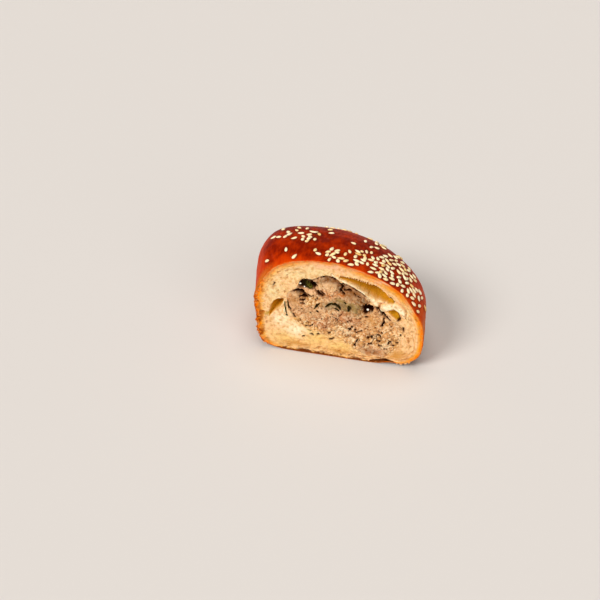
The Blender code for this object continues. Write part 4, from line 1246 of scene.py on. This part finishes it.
def buildFatAndGlints(material):
    # balls, squashed at random and roughened by a noise
    draw = np.random.default_rng(fatAndGlints["random"])
    shape, faceGroups = ballShape(16, 10)
    bits = np.array(fatAndGlints["bits"])
    count = len(bits)
    body = shape[None] * bits[:, None, 3:] * draw.uniform(*fatAndGlints["squash"], (count, 1, 3)) / 2
    body = body * (1 + fatAndGlints["rough"] * ownNoise(body, 4.0, 0.8, 45, 2))
    points = body + bits[:, None, :3]
    points[..., 1] = np.maximum(points[..., 1], justInside)
    makePiece("fatBitsAndGlints", points, copies(count, shape, faceGroups), [material])


def whiteFatAndGlints():
    # bits of white fat, and white bits that are painted highlights: waxy and wet, the brightest thing in the
    # filling
    material, tree, shader, place = newMaterial("whiteFatAndGlints", {
        "Base Color": toLinear("#fff6e8"), "Roughness": 0.35, "IOR": 1.45, "Subsurface Weight": 0.2,
        "Subsurface Radius": (1.0, 0.8, 0.6), "Subsurface Scale": 0.8 * millimetre})
    # 0.3 mm waviness
    wax = addNode(tree, "ShaderNodeTexNoise", {"Scale": 1 / (0.3 * millimetre), "Detail": 2.0},
                  {"Vector": place})
    bump = addNode(tree, "ShaderNodeBump", {"Strength": 0.3, "Distance": 0.1 * millimetre},
                   {"Height": wax.outputs["Fac"]})
    tree.links.new(bump.outputs[0], shader.inputs["Normal"])
    return material


crumbs = {
    # along the cut's edge: angles round the section, count and range of tone, on the left and at the
    # right foot
    "groups": ((-164, -138, 34, 0.0, 0.65), (-38, -29, 14, 0.5, 1.0)),
    "back": (0.3, 2.4), "size": (0.2, 0.7), "squash": (0.7, 1.2), "rough": 0.7, "random": 23,
}


def buildCrumbs(material):
    # small squashed balls, roughened by a noise and half sunk in the crust's edge
    draw = np.random.default_rng(crumbs["random"])
    shape, faceGroups = ballShape(9, 7)
    angle = np.concatenate([draw.uniform(*group[:2], group[2]) for group in crumbs["groups"]])
    tone = np.concatenate([draw.uniform(*group[3:], group[2]) for group in crumbs["groups"]])
    count = len(angle)
    nearest, farthest = crumbs["back"]
    back = nearest + (farthest - nearest) * draw.uniform(0, 1, count) ** 1.6
    seat = flatBase(crustSurface(np.radians(angle), back))
    size = draw.uniform(*crumbs["size"], (count, 1, 1)) * draw.uniform(*crumbs["squash"], (count, 1, 3))
    body = shape[None] * size
    body = body * (1 + crumbs["rough"] * ownNoise(body * 1.5, 6.0, 0.9, 29, 3))
    body = np.einsum("nij,nkj->nki", turnMatrices(draw, count), body)
    points = body + seat[:, None]
    points[..., 1:] = np.maximum(points[..., 1:], justInside)
    layers = {"tone": np.repeat(tone, len(shape))}
    faceGroups = copies(count, shape, faceGroups)
    makePiece("tornCrumbs", points, faceGroups, [material], "pie_dough", layers)


def tornDough():
    # bits of crust and crumb broken off at the edges: matt, from scorched brown through orange to cream
    material, tree, shader, place = newMaterial("tornDough", {"Roughness": 0.7, "Specular IOR Level": 0.25})
    tone = addNode(tree, "ShaderNodeAttribute", {"attribute_name": "tone"}).outputs["Fac"]
    ramp = addNode(tree, "ShaderNodeValToRGB", {"stops": [
        (0.0, "#8c3c0c"), (0.25, "#d06a18"), (0.5, "#ee9a3c"), (0.75, "#f0b878"), (1.0, "#e9bd86")]},
        {"Fac": tone})
    # 0.6 mm grain
    grain = addNode(tree, "ShaderNodeTexNoise", {"Scale": 1 / (0.6 * millimetre), "Detail": 3.0},
                    {"Vector": place})
    bump = addNode(tree, "ShaderNodeBump", {"Strength": 0.5, "Distance": 0.2 * millimetre},
                   {"Height": grain.outputs["Fac"]})
    tree.links.new(ramp.outputs["Color"], shader.inputs["Base Color"])
    tree.links.new(bump.outputs[0], shader.inputs["Normal"])
    return material


stage = {
    "aim": (-28.65, 13.7, 0.0), "azimuth": 13.9, "elevation": 36.05, "distance": 750.0, "lens": 82.3,
    "floor": "#d5d1cf", "floorReach": 3,  # metres
    "lights": (  # name, azimuth, elevation, degrees across, strength, colour
        ("keyLight", -34, 40, 26, 2.5, "#fffbf5"),
        ("fillLight", 42, 30, 50, 1.1, "#fffbf5"),
        ("topLight", 180, 84, 40, 1.3, "#fffaf2"),
    ),
    # the backdrop looks pale, and lights the object only a little
    "worldColour": "#fffdfa", "worldStrength": 0.08, "backdrop": 0.85,
}


def wayTowards(azimuth, elevation):
    # unit vector from the object to a place at this azimuth (0 is in front of the cut) and elevation
    a, e = math.radians(azimuth), math.radians(elevation)
    return Vector((math.sin(a) * math.cos(e), -math.cos(a) * math.cos(e), math.sin(e)))


def buildStage():
    scene = bpy.context.scene
    aim = Vector(stage["aim"]) * millimetre
    towards = wayTowards(stage["azimuth"], stage["elevation"])
    camera = bpy.data.objects.new("camera", bpy.data.cameras.new("camera"))
    camera.data.lens = stage["lens"]
    camera.location = aim + towards * stage["distance"] * millimetre
    camera.rotation_euler = towards.to_track_quat("Z", "Y").to_euler()
    scene.collection.objects.link(camera)
    scene.camera = camera
    for name, azimuth, elevation, wide, strength, code in stage["lights"]:
        lamp = bpy.data.objects.new(name, bpy.data.lights.new(name, "SUN"))
        lamp.data.angle = math.radians(wide)
        lamp.data.energy = strength
        lamp.data.color = toLinear(code)[:3]
        lamp.rotation_euler = wayTowards(azimuth, elevation).to_track_quat("Z", "Y").to_euler()
        scene.collection.objects.link(lamp)
    world = bpy.data.worlds.new("studio")
    world.use_nodes = True
    tree = world.node_tree
    seen = addNode(tree, "ShaderNodeLightPath").outputs["Is Camera Ray"]
    strength = addNode(tree, "ShaderNodeMapRange",
                       {"To Min": stage["worldStrength"], "To Max": stage["backdrop"]}, {"Value": seen})
    tree.nodes["Background"].inputs["Color"].default_value = toLinear(stage["worldColour"])
    tree.links.new(strength.outputs[0], tree.nodes["Background"].inputs["Strength"])
    scene.world = world
    # plain matt floor, wide enough to fill every view
    material = newMaterial("palePaper", {
        "Base Color": toLinear(stage["floor"]), "Roughness": 0.8, "Specular IOR Level": 0.2})[0]
    mesh = bpy.data.meshes.new("floor")
    far = stage["floorReach"]
    mesh.from_pydata([(-far, -far, 0), (far, -far, 0), (far, far, 0), (-far, far, 0)], [], [(0, 1, 2, 3)])
    mesh.materials.append(material)
    floor = bpy.data.objects.new("floor", mesh)
    scene.collection.objects.link(floor)
    scene.view_settings.view_transform = "Standard"
    print("stage set")


buildStage()
seedCentres = buildSeeds(hulledSesame(), seedFrames())
buildDough([eggWashedCrust(), wheatCrumb()], seedCentres)
meat = cookedMince()
buildFilling(meat)
buildMince(meat)
herb = stewedHerb()
buildLeaf(herb)
buildShreds(herb)
buildOnion(softOnion())
buildFatAndGlints(whiteFatAndGlints())
buildCrumbs(tornDough())
